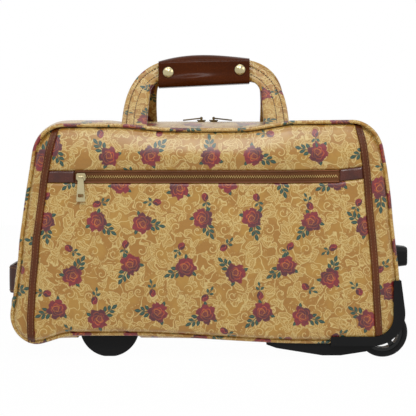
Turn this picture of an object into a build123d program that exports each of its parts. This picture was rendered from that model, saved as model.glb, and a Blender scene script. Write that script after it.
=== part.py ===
"""Rolling duffel: a soft printed body on a stiff base, two wheels, a telescopic pull handle."""
import os
from math import atan2, cos, hypot, pi, radians, sin, sqrt

from build123d import *

os.makedirs("parts", exist_ok=True)

# Shared clearances
overrun = 20.0          # how far a cut runs past the material
seat_gap = 0.3          # between a fitted piece and the curved surface it sits on
slide_gap = 0.3         # between sliding pieces, each side
bolt_gap = 0.1          # round a bolt or screw in its hole
bearing_gap = 0.05      # running fit of the axle
seam_gap = 0.2          # between panels that lie side by side

# Soft body, seam outline seen from the front
base_half_length = 275.0
end_taper = 40.0        # how far each end leans in towards the top
base_z = 24.0
seam_top_z = 320.0
base_corner_radius = 40.0
seam_corner_radius = 40.0
# Soft body at mid depth, where the top swells beyond the seams
crown_swell = 15.0
crown_rise_z = 11.0
crown_corner_radius = 55.0
gusset_half_depth = 107.2
wall = 3.0
base_split_z = 62.0     # seam between base panel and end panels
zip_end_z = 200.0       # the main zip runs down both ends to this height

# Welt piping and the two flat panels
piping_width = 5.6
piping_stand = 2.0      # how far the welt stands out of the gusset
piping_bed = 5.0
piping_round = 2.6
panel_thickness = 6.2
panel_inset = 0.5
panel_round = 5.0

# Front pocket: strips, panels, zip band
strip_width = 11.0
strip_thickness = 4.4
strip_round = 1.2
strip_top_inset = 20.8  # from the seam's top corner to the strip
strip_knee_inset = 11.5
strip_foot_inset = 31.6  # from the seam's base corner to the strip
strip_top_drop = 6.5
strip_knee_drop = 51.0
strip_foot_rise = 9.5
pocket_thickness = 2.6
zip_drop = 66.2         # below the top seam
zip_band = 17.0
left_tab_length = 41.0
right_tab_length = 42.5
tab_thickness = 2.9
tape_thickness = 1.0

# Zip chain, the same on pocket and top
chain_width = 6.4
chain_height = 1.9
tooth_pitch = 3.6
tooth_share = 0.45
tooth_reach = 1.2
spine_width = 1.6

# Zip sliders and pulls
slider_length = 13.0
slider_round = 3.0
slider_plate = 1.5
flange_width = 1.6
flange_share = 0.8
crown_span = 8.4
crown_post = 1.6
crown_width = 3.2
crown_rise = 2.5
crown_bar_radius = 1.0
pull_barrel_radius = 2.1
pull_barrel_length = 5.2
pull_length = 34.0
pull_neck_width = 7.5
pull_end_width = 12.6
pull_thickness = 1.8
pull_round = 1.4
pull_hole_width = 8.0
pull_hole_height = 5.0
pull_hole_share = 0.76
pocket_slider_start = 8.0  # from the zip's left end
top_slider_x = 9.0
top_pull_length = 27.0
top_pull_tilt = 6.5     # degrees below level at rest

# Main zip along the top
main_gap_half = 16.0
main_tape_depth = 0.7
main_tape_thickness = 1.6

# Carry handles and their leather wrap
strap_width = 34.0
strap_thickness = 7.0
strap_round = 3.0
strap_leg_x = 101.0
strap_leg_stand = 8.8   # of the strap's root in front of the gusset
strap_root_z = 315.0
strap_bar_z = 407.0
strap_bar_y = 5.2
strap_squareness = 3.3  # exponent of the arch seen from the front
strap_lean = 1.55       # exponent of the lean towards the middle
strap_stations = 11
strap_root_share = 0.0004  # of half a turn, where the strap leaves the seam
strap_samples = 400
wrap_left_x = -71.0
wrap_right_x = 61.0
wrap_height = 46.0
wrap_depth = 40.0
wrap_thickness = 2.0
wrap_round = 8.0
snap_inset = 14.0
snap_slope = 0.035      # the flap lies askew, so the left snap sits lower
snap_radius = 7.7
snap_height = 3.0
snap_round = 1.8
snap_post_radius = 2.2

# Leather grab handle on the left end
grab_low_z = 84.0
grab_high_z = 124.0
grab_inset = 33.2       # from the seam to the strap's end
grab_foot_stand = 3.7   # leather of the sewn-down ends
grab_bow = 12.5         # how far the middle stands out beyond the ends
grab_thickness = 4.5
grab_end_length = 22.0
grab_slope_length = 14.0
grab_round = 9.0
grab_rivet_inset = 11.0
rivet_radius = 5.0
rivet_height = 2.4
rivet_round = 1.4

# Stand feet under the left end and pegs on the right end
foot_inset = 137.0      # from the left base corner
foot_seam_inset = 29.2  # from the seam to the middle of the foot
foot_radius = 42.0
foot_flat = 14.0
foot_width = 28.0
foot_round = 1.6
foot_recess = 5.4       # depth of the pocket in the base that the foot stands in
foot_screw_pitch = 36.0
peg_seam_inset = 32.2
peg_z = 141.0
peg_bed = 12.0          # depth from which the peg is cut to the bag's curve
peg_width = 36.0
peg_height = 26.0
peg_round = 7.0
peg_taper = 7.0         # degrees
peg_edge = 2.0
screw_radius = 2.0
screw_head_radius = 4.2
screw_head_height = 2.4
screw_grip = 9.0        # depth of thread in the plastic

# Wheels
wheel_inset = 29.0      # from the right base corner to the axle
wheel_seam_inset = 18.2
wheel_radius = 35.0
tyre_width = 23.0
tyre_round = 4.5
rim_radius = 27.5
rim_inner_radius = 22.5
rim_width = 19.0
hub_radius = 11.0
hub_width = 21.0
spoke_width = 7.0
spoke_depth = 12.0
spoke_count = 5
bearing_radius = 8.0
bearing_width = 5.0
axle_radius = 3.0
axle_head_radius = 6.0
axle_head_height = 3.0

# Wheel housings
housing_gap = 0.3
housing_skin = 2.7
housing_reach = 104.0   # along the base from the corner
housing_rise = 86.0     # up the corner
flange_thickness = 3.6
flange_side_width = 17.0
flange_base_width = 8.0
flange_inner_radius = 27.0
well_gap = 4.0          # round the tyre
well_wall = 2.5
cheek_gap = 1.0         # beside the hub
skid_length = 163.4     # from the tip to the axle
skid_tip_depth = 5.0
skid_nose_run = 14.0
skid_nose_depth = 10.0
skid_ramp_run = 78.4
skid_flat_run = 103.4
skid_depth = 20.3
skid_heel_run = 139.4
skid_heel_depth = 14.7
skid_gap = 0.8          # behind the seam

# Base board and telescopic handle
board_left_inset = 47.0
board_right_inset = 79.0
board_side_gap = 12.2
board_thickness = 3.0
tube_inset = 17.0       # from the cup's side to the tubes
tube_z = 60.0
outer_tube_width = 24.0
outer_tube_height = 16.0
tube_wall = 1.2
tube_round = 3.0
outer_tube_inset = 8.0  # from the board's right edge
mid_tube_inset = 18.0   # each stage ends short of the one round it
inner_tube_inset = 20.0
glide_length = 12.0
glide_gap = 0.1
bezel_stand = 6.6       # of the bezel's face beyond the bag's end
bezel_depth = 28.0
cup_depth = 40.5
cup_floor = 2.5
cup_seam_inset = 38.2
cup_height = 30.0
cup_wall = 2.0
cup_round = 8.0
bezel_lip = 4.0
bezel_edge = 1.5
grip_set_back = 1.5     # of the grip's face behind the bezel's
grip_depth = 18.0
grip_end_gap = 4.0
grip_height = 20.0
grip_round = 5.0
grip_leg_width = 27.0
grip_leg_height = 18.0
grip_leg_gap = 6.0      # from the legs to the back of the cup
tube_socket = 9.0
button_width = 40.0
button_height = 9.0
button_depth = 8.0
button_stand = 1.2
button_travel = 4.0
yoke_overhang = 3.0
yoke_height = 6.0
yoke_depth = 4.0
rod_radius = 2.0
rod_inset = 10.0
saddle_x = -30.0
saddle_length = 20.0
bracket_length = 18.0
block_margin = 4.0
block_round = 3.0


# Derived sizes
seam_top_half_length = base_half_length - end_taper
crown_half_length = seam_top_half_length + crown_swell
crown_z = seam_top_z + crown_rise_z
strip_top_x = seam_top_half_length - strip_top_inset
strip_top_z = seam_top_z - strip_top_drop
strip_knee_x = seam_top_half_length - strip_knee_inset
strip_knee_z = seam_top_z - strip_knee_drop
strip_foot_x = base_half_length - strip_foot_inset
strip_foot_z = base_z + strip_foot_rise
zip_z = seam_top_z - zip_drop
zip_left_x = left_tab_length - strip_knee_x
zip_right_x = strip_knee_x - right_tab_length
pocket_slider_x = zip_left_x + pocket_slider_start
strap_leg_y = gusset_half_depth + strap_leg_stand
grab_half_length = gusset_half_depth - grab_inset
grab_bend_y = grab_half_length - grab_end_length
grab_flat_y = grab_bend_y - grab_slope_length
grab_rivet_y = grab_half_length - grab_rivet_inset
foot_x = foot_inset - base_half_length
foot_y = gusset_half_depth - foot_seam_inset
peg_y = gusset_half_depth - peg_seam_inset
wheel_x = base_half_length - wheel_inset
wheel_y = gusset_half_depth - wheel_seam_inset
peg_reach_x = wheel_x + wheel_radius    # level with the tyres when the bag stands on its end
housing_left_x = base_half_length - housing_reach
housing_top_z = base_z + housing_rise
flange_inner_x = base_half_length - flange_side_width
flange_inner_z = base_z + flange_base_width
board_left_x = board_left_inset - base_half_length
board_right_x = base_half_length - board_right_inset
board_half_width = gusset_half_depth - board_side_gap
cup_half_width = gusset_half_depth - cup_seam_inset
tube_y = cup_half_width - tube_inset
grip_half_width = cup_half_width - grip_end_gap
yoke_half_width = tube_y + yoke_overhang
outer_tube_right_x = board_right_x - outer_tube_inset
mid_tube_right_x = outer_tube_right_x - mid_tube_inset
inner_tube_right_x = mid_tube_right_x - inner_tube_inset
rod_end_x = inner_tube_right_x - rod_inset
panel_back_y = gusset_half_depth + piping_width
panel_face_y = panel_back_y + panel_thickness
strip_half = strip_width / 2
foot_top_z = base_z + foot_recess - seat_gap
foot_seat_z = base_z + foot_recess + wall
foot_centre_z = sqrt(foot_radius**2 - (foot_flat / 2)**2)
foot_half_chord = sqrt(foot_radius**2 - (foot_centre_z - foot_top_z)**2)
skid_top_z = base_z - seat_gap
board_z = base_z + wall
board_top_z = board_z + board_thickness
mid_tube_width = outer_tube_width - 2 * (tube_wall + slide_gap)
mid_tube_height = outer_tube_height - 2 * (tube_wall + slide_gap)
inner_tube_width = mid_tube_width - 2 * (tube_wall + slide_gap)
inner_tube_height = mid_tube_height - 2 * (tube_wall + slide_gap)
slider_width = chain_width + 2 * (slide_gap + flange_width)
slider_top = slide_gap + chain_height + slide_gap + slider_plate
band_inner = piping_stand + housing_gap
band_outer = band_inner + housing_skin
cheek_outer_y = wheel_y + tyre_width / 2 + cheek_gap + well_wall
cheek_inner_y = wheel_y - tyre_width / 2 - cheek_gap - well_wall
skid_outer_y = gusset_half_depth - skid_gap
skid_inner_y = cheek_inner_y
well_radius = wheel_radius + well_gap
well_outer_radius = well_radius + well_wall
far = base_half_length + wheel_radius + overrun
high = strap_bar_z + wrap_height


def end_x(z, y):
    """Half length of the soft body at a height and a depth, clear of the rounded corners."""
    seam = base_half_length + (z - base_z) * (seam_top_half_length - base_half_length) / (seam_top_z - base_z)
    crown = base_half_length + (z - base_z) * (crown_half_length - base_half_length) / (crown_z - base_z)
    return crown + (seam - crown) * (y / gusset_half_depth)**2


peg_seat_x = end_x(peg_z, peg_y)
grab_seat_x = end_x((grab_low_z + grab_high_z) / 2, 0)
grab_foot_x = grab_seat_x + grab_foot_stand
grab_reach_x = grab_foot_x + grab_bow
bezel_face_x = -end_x(tube_z, 0) - bezel_stand
cup_floor_x = bezel_face_x + cup_depth
grip_face_x = bezel_face_x + grip_set_back
grip_leg_end_x = cup_floor_x - grip_leg_gap
button_tip_x = grip_face_x - button_stand


def seam_outline(y, growth):
    """Outline of the body at a front or rear seam, grown all round."""
    with BuildSketch(Plane.XZ.offset(-y)) as outline:
        with BuildLine():
            Polyline((-base_half_length, base_z), (base_half_length, base_z),
                     (seam_top_half_length, seam_top_z), (-seam_top_half_length, seam_top_z), close=True)
        make_face()
        fillet(outline.vertices().group_by(Axis.Y)[0], base_corner_radius)
        fillet(outline.vertices().group_by(Axis.Y)[-1], seam_corner_radius)
        if growth:
            offset(amount=growth)
    return outline.sketch


def crown_outline(growth):
    """Outline of the body at mid depth, grown all round."""
    with BuildSketch(Plane.XZ) as outline:
        with BuildLine():
            Polyline((-base_half_length, base_z), (base_half_length, base_z),
                     (crown_half_length, crown_z), (-crown_half_length, crown_z), close=True)
        make_face()
        fillet(outline.vertices().group_by(Axis.Y)[0], base_corner_radius)
        fillet(outline.vertices().group_by(Axis.Y)[-1], crown_corner_radius)
        if growth:
            offset(amount=growth)
    return outline.sketch


def body_solid(growth):
    """The whole soft body between the seams, grown all round."""
    with BuildPart() as body:
        loft(sections=[seam_outline(-gusset_half_depth, growth), crown_outline(growth),
                       seam_outline(gusset_half_depth, growth)])
    return body.part


def seam_prism(growth, start_y, end_y):
    """The seam outline run straight through from one depth to another."""
    with BuildPart() as prism:
        extrude(seam_outline(start_y, growth), amount=end_y - start_y, dir=(0, 1, 0))
    return prism.part


def flange_window(inset):
    """Part of the front view that the housing's face flange leaves free."""
    with BuildSketch(Plane.XZ) as window:
        with BuildLine():
            Polyline((-far, flange_inner_z + inset), (flange_inner_x - inset, flange_inner_z + inset),
                     (flange_inner_x - inset, high), (-far, high), close=True)
        make_face()
        corner = window.vertices().group_by(Axis.Y)[0].sort_by(Axis.X)[-1]
        fillet(corner, flange_inner_radius - inset)
    return window.sketch


def block(x_from, x_to, y_from, y_to, z_from, z_to):
    """A plain box between six planes."""
    with BuildPart() as plain:
        with Locations(((x_from + x_to) / 2, (y_from + y_to) / 2, (z_from + z_to) / 2)):
            Box(x_to - x_from, y_to - y_from, z_to - z_from)
    return plain.part


def foot_boxes(gap, low_z, high_z):
    """Boxes round the tops of both stand feet, wider than the feet by a gap."""
    with BuildPart() as boxes:
        with Locations((foot_x, 0, (low_z + high_z) / 2)):
            with GridLocations(0, 2 * foot_y, 1, 2):
                Box(2 * (foot_half_chord + gap), foot_width + 2 * gap, high_z - low_z)
    return boxes.part


def save(builder, name):
    """Label one finished piece and write it out."""
    builder.part.label = name
    export_step(builder.part, f"parts/{name}.step")


# Soft body: one lofted gusset wall, cut at its seams into five panels
body_outer = body_solid(0)
body_seat = body_solid(seat_gap)
with BuildPart() as gusset:
    add(body_outer)
    add(body_solid(-wall), mode=Mode.SUBTRACT)

with BuildPart() as wheel_wells:
    for side in (-1, 1):
        with BuildSketch(Plane.XZ.offset(side * wheel_y)):
            with Locations((wheel_x, wheel_radius)):
                Circle(well_outer_radius + seat_gap)
        extrude(amount=(cheek_outer_y - cheek_inner_y) / 2 + seat_gap, both=True)
        with BuildSketch(Plane.XZ.offset(side * wheel_y)):
            with Locations((wheel_x, wheel_radius)):
                Circle(axle_head_radius + seat_gap)
        extrude(amount=(cheek_outer_y - cheek_inner_y) / 2 + axle_head_height + seat_gap, both=True)

with BuildPart() as cup_hole:
    with BuildSketch(Plane.YZ.offset(bezel_face_x)):
        with Locations((0, tube_z)):
            RectangleRounded(2 * (cup_half_width + cup_wall + seat_gap),
                             cup_height + 2 * (cup_wall + seat_gap), cup_round)
    extrude(amount=cup_floor_x - bezel_face_x)

with BuildPart() as foot_holes:
    with Locations((foot_x, 0, base_z)):
        with GridLocations(foot_screw_pitch, 2 * foot_y, 2, 2):
            Cylinder(screw_radius + bolt_gap, 2 * overrun)

with BuildPart() as peg_holes:
    with BuildSketch(Plane.YZ.offset(peg_seat_x)):
        with Locations((0, peg_z)):
            with GridLocations(2 * peg_y, 0, 2, 1):
                Circle(screw_radius + bolt_gap)
    extrude(amount=overrun, both=True)

with BuildPart() as base_panel:
    add(gusset.part)
    add(block(-far, far, -far, far, 0, base_split_z), mode=Mode.INTERSECT)
    add(foot_boxes(seat_gap + wall, base_z, foot_seat_z))
    add(foot_boxes(seat_gap, base_z - overrun, base_z + foot_recess), mode=Mode.SUBTRACT)
    add(wheel_wells.part, mode=Mode.SUBTRACT)
    add(cup_hole.part, mode=Mode.SUBTRACT)
    add(foot_holes.part, mode=Mode.SUBTRACT)
save(base_panel, "base_panel")

with BuildPart() as left_end_panel:
    add(gusset.part)
    add(block(-far, 0, -far, far, base_split_z, zip_end_z), mode=Mode.INTERSECT)
    add(cup_hole.part, mode=Mode.SUBTRACT)
save(left_end_panel, "left_end_panel")

with BuildPart() as right_end_panel:
    add(gusset.part)
    add(block(0, far, -far, far, base_split_z, zip_end_z), mode=Mode.INTERSECT)
    add(wheel_wells.part, mode=Mode.SUBTRACT)
    add(peg_holes.part, mode=Mode.SUBTRACT)
save(right_end_panel, "right_end_panel")

with BuildPart() as top_panel_front:
    add(gusset.part)
    add(block(-far, far, -far, -main_gap_half, zip_end_z, high), mode=Mode.INTERSECT)
save(top_panel_front, "top_panel_front")

with BuildPart() as top_panel_rear:
    add(gusset.part)
    add(block(-far, far, main_gap_half, far, zip_end_z, high), mode=Mode.INTERSECT)
save(top_panel_rear, "top_panel_rear")

# Main zip: tape let into the gap between the top panels, chain standing on it
tape_top = body_solid(-main_tape_depth)
with BuildPart() as main_zip_tape:
    add(tape_top)
    add(body_solid(-main_tape_depth - main_tape_thickness), mode=Mode.SUBTRACT)
    add(block(-far, far, -main_gap_half, main_gap_half, zip_end_z, high), mode=Mode.INTERSECT)
save(main_zip_tape, "main_zip_tape")

with BuildPart() as main_zip_chain:
    add(body_solid(chain_height - main_tape_depth))
    add(tape_top, mode=Mode.SUBTRACT)
    add(block(-far, far, -chain_width / 2, chain_width / 2, zip_end_z, high), mode=Mode.INTERSECT)
save(main_zip_chain, "main_zip_chain")

# Flat panels and their welts, front then rear
for side, place in ((-1, "front"), (1, "rear")):
    back_y = side * gusset_half_depth
    with BuildPart() as piping:
        add(seam_prism(piping_stand, back_y, side * panel_back_y))
        fillet(piping.edges().filter_by(Plane.XZ), piping_round)
        add(seam_prism(-piping_bed, back_y, side * panel_back_y), mode=Mode.SUBTRACT)
    save(piping, f"{place}_piping")

    with BuildPart() as panel:
        add(seam_prism(-panel_inset, side * panel_back_y, side * panel_face_y))
        outer_face = panel.faces().sort_by(Axis.Y)[0 if side < 0 else -1]
        fillet(outer_face.edges(), panel_round)
    save(panel, f"{place}_panel")


# Front pocket, laid on the front panel
face_plane = Plane.XZ.offset(panel_face_y)


def strip_x(z):
    """Middle line of the right-hand strip at a height."""
    if z > strip_knee_z:
        return strip_knee_x + (z - strip_knee_z) * (strip_top_x - strip_knee_x) / (strip_top_z - strip_knee_z)
    return strip_foot_x + (z - strip_foot_z) * (strip_knee_x - strip_foot_x) / (strip_knee_z - strip_foot_z)


def pocket_edge(z):
    """Half length of the pocket between the strips at a height."""
    return strip_x(z) - strip_half - seam_gap


for side, place in ((-1, "left"), (1, "right")):
    with BuildPart() as strip:
        with BuildSketch(face_plane):
            with BuildLine():
                Polyline(*[(side * strip_x(z) + step, z)
                           for step, heights in ((-strip_half, (strip_foot_z, strip_knee_z, strip_top_z)),
                                                 (strip_half, (strip_top_z, strip_knee_z, strip_foot_z)))
                           for z in heights], close=True)
            make_face()
        extrude(amount=strip_thickness)
        fillet(strip.faces().sort_by(Axis.Y)[0].edges(), strip_round)
        extrude(flange_window(seam_gap), amount=far, both=True, mode=Mode.INTERSECT)
    save(strip, f"{place}_strip")

zip_low_z = zip_z - zip_band / 2
zip_high_z = zip_z + zip_band / 2
for name, heights in (("pocket_lower_panel", (strip_foot_z, zip_low_z - seam_gap)),
                      ("pocket_upper_panel", (zip_high_z + seam_gap, strip_knee_z, strip_top_z))):
    with BuildPart() as pocket_panel:
        with BuildSketch(face_plane):
            with BuildLine():
                Polyline(*[(-pocket_edge(z), z) for z in heights],
                         *[(pocket_edge(z), z) for z in reversed(heights)], close=True)
            make_face()
        extrude(amount=pocket_thickness)
    save(pocket_panel, name)

with BuildPart() as pocket_zip_tape:
    with BuildSketch(face_plane):
        with Locations(((zip_left_x + zip_right_x) / 2, zip_z)):
            Rectangle(zip_right_x - zip_left_x, zip_band)
    extrude(amount=tape_thickness)
save(pocket_zip_tape, "pocket_zip_tape")

for side, place, inner_x in ((-1, "left", zip_left_x), (1, "right", zip_right_x)):
    outer_x = side * pocket_edge(zip_high_z)
    with BuildPart() as zip_tab:
        with BuildSketch(face_plane):
            with Locations(((inner_x + outer_x) / 2, zip_z)):
                Rectangle(abs(outer_x - inner_x) - seam_gap, zip_band)
        extrude(amount=tab_thickness)
        fillet(zip_tab.faces().sort_by(Axis.Y)[0].edges(), strip_round)
    save(zip_tab, f"{place}_zip_tab")

# Two rows of teeth that reach into each other's gaps
with BuildPart() as pocket_zip_teeth:
    tooth_count = int((zip_right_x - zip_left_x) / tooth_pitch) - 1
    half_pitch = tooth_pitch / 2
    for side in (-1, 1):
        row_x = zip_left_x + (half_pitch if side < 0 else 0)
        root = side * (chain_width / 2 - spine_width)
        tip = -side * tooth_reach
        rack = []
        for index in range(tooth_count):
            tooth_x = row_x + index * tooth_pitch
            tooth_end = tooth_x + tooth_share * tooth_pitch
            rack += [(tooth_x, zip_z + root), (tooth_x, zip_z + tip),
                     (tooth_end, zip_z + tip), (tooth_end, zip_z + root)]
        edge = zip_z + side * chain_width / 2
        with BuildSketch(face_plane.offset(tape_thickness)):
            with BuildLine():
                Polyline(*rack, (rack[-1][0], edge), (rack[0][0], edge), close=True)
            make_face()
        extrude(amount=chain_height)
save(pocket_zip_teeth, "pocket_zip_teeth")


def zip_slider(plane, crown_plane):
    """Slider saddled over the chain; the crown bar runs along the x of crown_plane."""
    with BuildPart() as slider:
        with BuildSketch(plane.offset(slide_gap)):
            with GridLocations(0, slider_width - flange_width, 1, 2):
                Rectangle(flange_share * slider_length, flange_width)
        extrude(amount=chain_height + slide_gap)
        with BuildSketch(plane.offset(slider_top - slider_plate)):
            RectangleRounded(slider_length, slider_width, slider_round)
        extrude(amount=slider_plate)
        with BuildSketch(crown_plane.offset(slider_top)):
            with GridLocations(crown_span, 0, 2, 1):
                Rectangle(crown_post, crown_width)
        extrude(amount=crown_rise + crown_bar_radius)
        middle = crown_plane.offset(slider_top + crown_rise)
        with BuildSketch(Plane(middle.origin, x_dir=middle.y_dir, z_dir=middle.x_dir)):
            Circle(crown_bar_radius)
        extrude(amount=crown_span / 2, both=True)
    return slider


def zip_pull(plane, length):
    """Pull tab hinged on the x of the plane, hanging along its minus y."""
    with BuildPart() as pull:
        with BuildSketch(plane.offset(-pull_thickness / 2)) as blade:
            with BuildLine():
                Polyline((-pull_neck_width / 2, -pull_barrel_radius),
                         (pull_neck_width / 2, -pull_barrel_radius),
                         (pull_end_width / 2, -length), (-pull_end_width / 2, -length), close=True)
            make_face()
            fillet(blade.vertices(), pull_round)
            with Locations((0, -pull_hole_share * length)):
                RectangleRounded(pull_hole_width, pull_hole_height, pull_hole_height / 3, mode=Mode.SUBTRACT)
            with Locations((0, -pull_barrel_radius)):
                Rectangle(pull_barrel_length, 2 * pull_barrel_radius)
        extrude(amount=pull_thickness)
        with BuildSketch(Plane(plane.origin, x_dir=plane.y_dir, z_dir=plane.x_dir)):
            Circle(pull_barrel_radius)
        extrude(amount=pull_barrel_length / 2, both=True)
        with BuildSketch(Plane(plane.origin, x_dir=plane.y_dir, z_dir=plane.x_dir)):
            Circle(crown_bar_radius + slide_gap)
        extrude(amount=pull_end_width, both=True, mode=Mode.SUBTRACT)
    return pull


pocket_slide_plane = Plane((pocket_slider_x, -panel_face_y - tape_thickness, zip_z),
                           x_dir=(1, 0, 0), z_dir=(0, -1, 0))
save(zip_slider(pocket_slide_plane, pocket_slide_plane), "pocket_slider")
save(zip_pull(pocket_slide_plane.offset(slider_top + crown_rise), pull_length), "pocket_pull")

for side, place in ((-1, "left"), (1, "right")):
    top_slide_plane = Plane((side * top_slider_x, 0, crown_z - main_tape_depth),
                            x_dir=(1, 0, 0), z_dir=(0, 0, 1))
    top_crown_plane = Plane(top_slide_plane.origin, x_dir=(0, side, 0), z_dir=(0, 0, 1))
    save(zip_slider(top_slide_plane, top_crown_plane), f"{place}_top_slider")
    tilt = radians(top_pull_tilt)
    hinge = top_slide_plane.offset(slider_top + crown_rise).origin
    lying = Plane(hinge, x_dir=(0, side, 0), z_dir=(side * sin(tilt), 0, cos(tilt)))
    save(zip_pull(lying, top_pull_length), f"{place}_top_pull")


# Carry handles: a flat strap lofted along an arch that leans to the middle of the bag
def arch_height(x):
    """Share of the arch's rise at a distance from its middle."""
    return (1 - (abs(x) / strap_leg_x)**strap_squareness)**(1 / strap_squareness)


def strap_plane(angle, side):
    """Cross-section plane of the strap: x across its width, z along it."""
    power = 2 / strap_squareness
    x = strap_leg_x * abs(cos(angle))**power * (1 if cos(angle) >= 0 else -1)
    share = abs(sin(angle))**power
    rise = strap_bar_z - strap_root_z
    run = strap_leg_y - strap_bar_y
    y = side * (strap_bar_y + run * (1 - share)**strap_lean)
    z = strap_root_z + rise * share
    slope_y = -side * run * strap_lean * (1 - share)**(strap_lean - 1)
    up = Vector(0, slope_y, rise).normalized()
    roll = atan2(run * strap_lean, rise) * (1 - share)
    outward = Vector(0, side * cos(roll), sin(roll))
    across = strap_leg_x * power * abs(cos(angle))**(power - 1) * sin(angle)
    climb = power * abs(sin(angle))**(power - 1) * cos(angle) * hypot(slope_y, rise)
    along = (Vector(-1, 0, 0) * across + up * climb).normalized()
    return Plane(Vector(x, y, z), x_dir=along.cross(outward) * side, z_dir=along)


def strap_angles():
    """Arch angles that stand evenly spaced along the strap."""
    angles = [pi * (strap_root_share + (1 - 2 * strap_root_share) * step / strap_samples)
              for step in range(strap_samples + 1)]
    points = [strap_plane(angle, 1).origin for angle in angles]
    lengths = [0]
    for before, after in zip(points, points[1:]):
        lengths.append(lengths[-1] + (after - before).length)
    chosen = []
    for station in range(strap_stations):
        target = lengths[-1] * station / (strap_stations - 1)
        chosen.append(angles[min(range(len(lengths)), key=lambda index: abs(lengths[index] - target))])
    return chosen


for side, place in ((-1, "front"), (1, "rear")):
    with BuildPart() as handle:
        sections = []
        for angle in strap_angles():
            with BuildSketch(strap_plane(angle, side), mode=Mode.PRIVATE) as section:
                RectangleRounded(strap_width, strap_thickness, strap_round)
            sections.append(section.sketch)
        loft(sections=sections)
        add(body_seat, mode=Mode.SUBTRACT)
        add(seam_prism(piping_stand + seat_gap, side * gusset_half_depth, side * (panel_face_y + overrun)),
            mode=Mode.SUBTRACT)
    save(handle, f"{place}_handle")

# Leather wrap round both straps, following the bow of the arch
wrap_mid_x = (wrap_left_x + wrap_right_x) / 2
snap_places = [(snap_x, strap_bar_z + snap_slope * (snap_x - wrap_right_x))
               for snap_x in (wrap_left_x + snap_inset, wrap_right_x - snap_inset)]
wrap_end_drop = (strap_bar_z - strap_root_z) * (1 - arch_height((wrap_right_x - wrap_left_x) / 2))
with BuildPart() as handle_wrap:
    with BuildLine(Plane.XZ) as wrap_path:
        ThreePointArc((wrap_left_x, strap_bar_z - wrap_end_drop), (wrap_mid_x, strap_bar_z),
                      (wrap_right_x, strap_bar_z - wrap_end_drop))
    with BuildSketch(Plane(wrap_path.line @ 0, x_dir=(0, 1, 0), z_dir=wrap_path.line % 0)):
        RectangleRounded(wrap_depth, wrap_height, wrap_round)
        RectangleRounded(wrap_depth - 2 * wrap_thickness, wrap_height - 2 * wrap_thickness,
                         wrap_round - wrap_thickness, mode=Mode.SUBTRACT)
    sweep(path=wrap_path.line)
    for snap_place in snap_places:
        with BuildSketch(Plane.XZ.offset(wrap_depth / 2 + overrun)):
            with Locations(snap_place):
                Circle(snap_post_radius + bolt_gap)
        extrude(amount=-overrun - 2 * wrap_thickness, mode=Mode.SUBTRACT)
save(handle_wrap, "handle_wrap")

with BuildPart() as snap_caps:
    for snap_place in snap_places:
        with BuildSketch(Plane.XZ.offset(wrap_depth / 2)):
            with Locations(snap_place):
                Circle(snap_radius)
        extrude(amount=snap_height)
    fillet(snap_caps.faces().group_by(Axis.Y)[0].edges(), snap_round)
    for snap_place in snap_places:
        with BuildSketch(Plane.XZ.offset(wrap_depth / 2)):
            with Locations(snap_place):
                Circle(snap_post_radius)
        extrude(amount=-wrap_thickness)
save(snap_caps, "snap_caps")

# Leather grab handle on the left end, sewn and riveted down at both ends
with BuildPart() as grab_handle:
    with BuildSketch(Plane.XY.offset(grab_low_z)):
        with BuildLine():
            Polyline((overrun - grab_seat_x, -grab_half_length), (-grab_foot_x, -grab_half_length),
                     (-grab_foot_x, -grab_bend_y), (-grab_reach_x, -grab_flat_y),
                     (-grab_reach_x, grab_flat_y), (-grab_foot_x, grab_bend_y),
                     (-grab_foot_x, grab_half_length), (overrun - grab_seat_x, grab_half_length), close=True)
        make_face()
        gap_x = grab_reach_x - grab_thickness
        with BuildLine():
            Polyline((overrun - grab_seat_x, -grab_bend_y),
                     (-grab_foot_x + grab_thickness, -grab_bend_y + grab_thickness),
                     (-gap_x, -grab_flat_y + grab_thickness), (-gap_x, grab_flat_y - grab_thickness),
                     (-grab_foot_x + grab_thickness, grab_bend_y - grab_thickness),
                     (overrun - grab_seat_x, grab_bend_y), close=True)
        make_face(mode=Mode.SUBTRACT)
    extrude(amount=grab_high_z - grab_low_z)
    with BuildSketch(Plane.YZ.offset(-grab_reach_x - overrun)):
        with Locations((0, (grab_low_z + grab_high_z) / 2)):
            RectangleRounded(2 * grab_half_length, grab_high_z - grab_low_z, grab_round)
    extrude(amount=far, mode=Mode.INTERSECT)
    add(body_seat, mode=Mode.SUBTRACT)
save(grab_handle, "grab_handle")

with BuildPart() as grab_rivets:
    with BuildSketch(Plane.YZ.offset(-grab_foot_x)):
        with Locations((0, (grab_low_z + grab_high_z) / 2)):
            with GridLocations(2 * grab_rivet_y, 0, 2, 1):
                Circle(rivet_radius)
    extrude(amount=-rivet_height)
    fillet(grab_rivets.faces().group_by(Axis.X)[0].edges(), rivet_round)
save(grab_rivets, "grab_rivets")

# Stiff base board inside the bag, notched round the pockets of the feet
with BuildPart() as base_board:
    add(block(board_left_x, board_right_x, -board_half_width, board_half_width, board_z, board_top_z))
    add(foot_boxes(2 * seat_gap + wall, board_z - overrun, board_top_z + overrun), mode=Mode.SUBTRACT)
save(base_board, "base_board")

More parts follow.
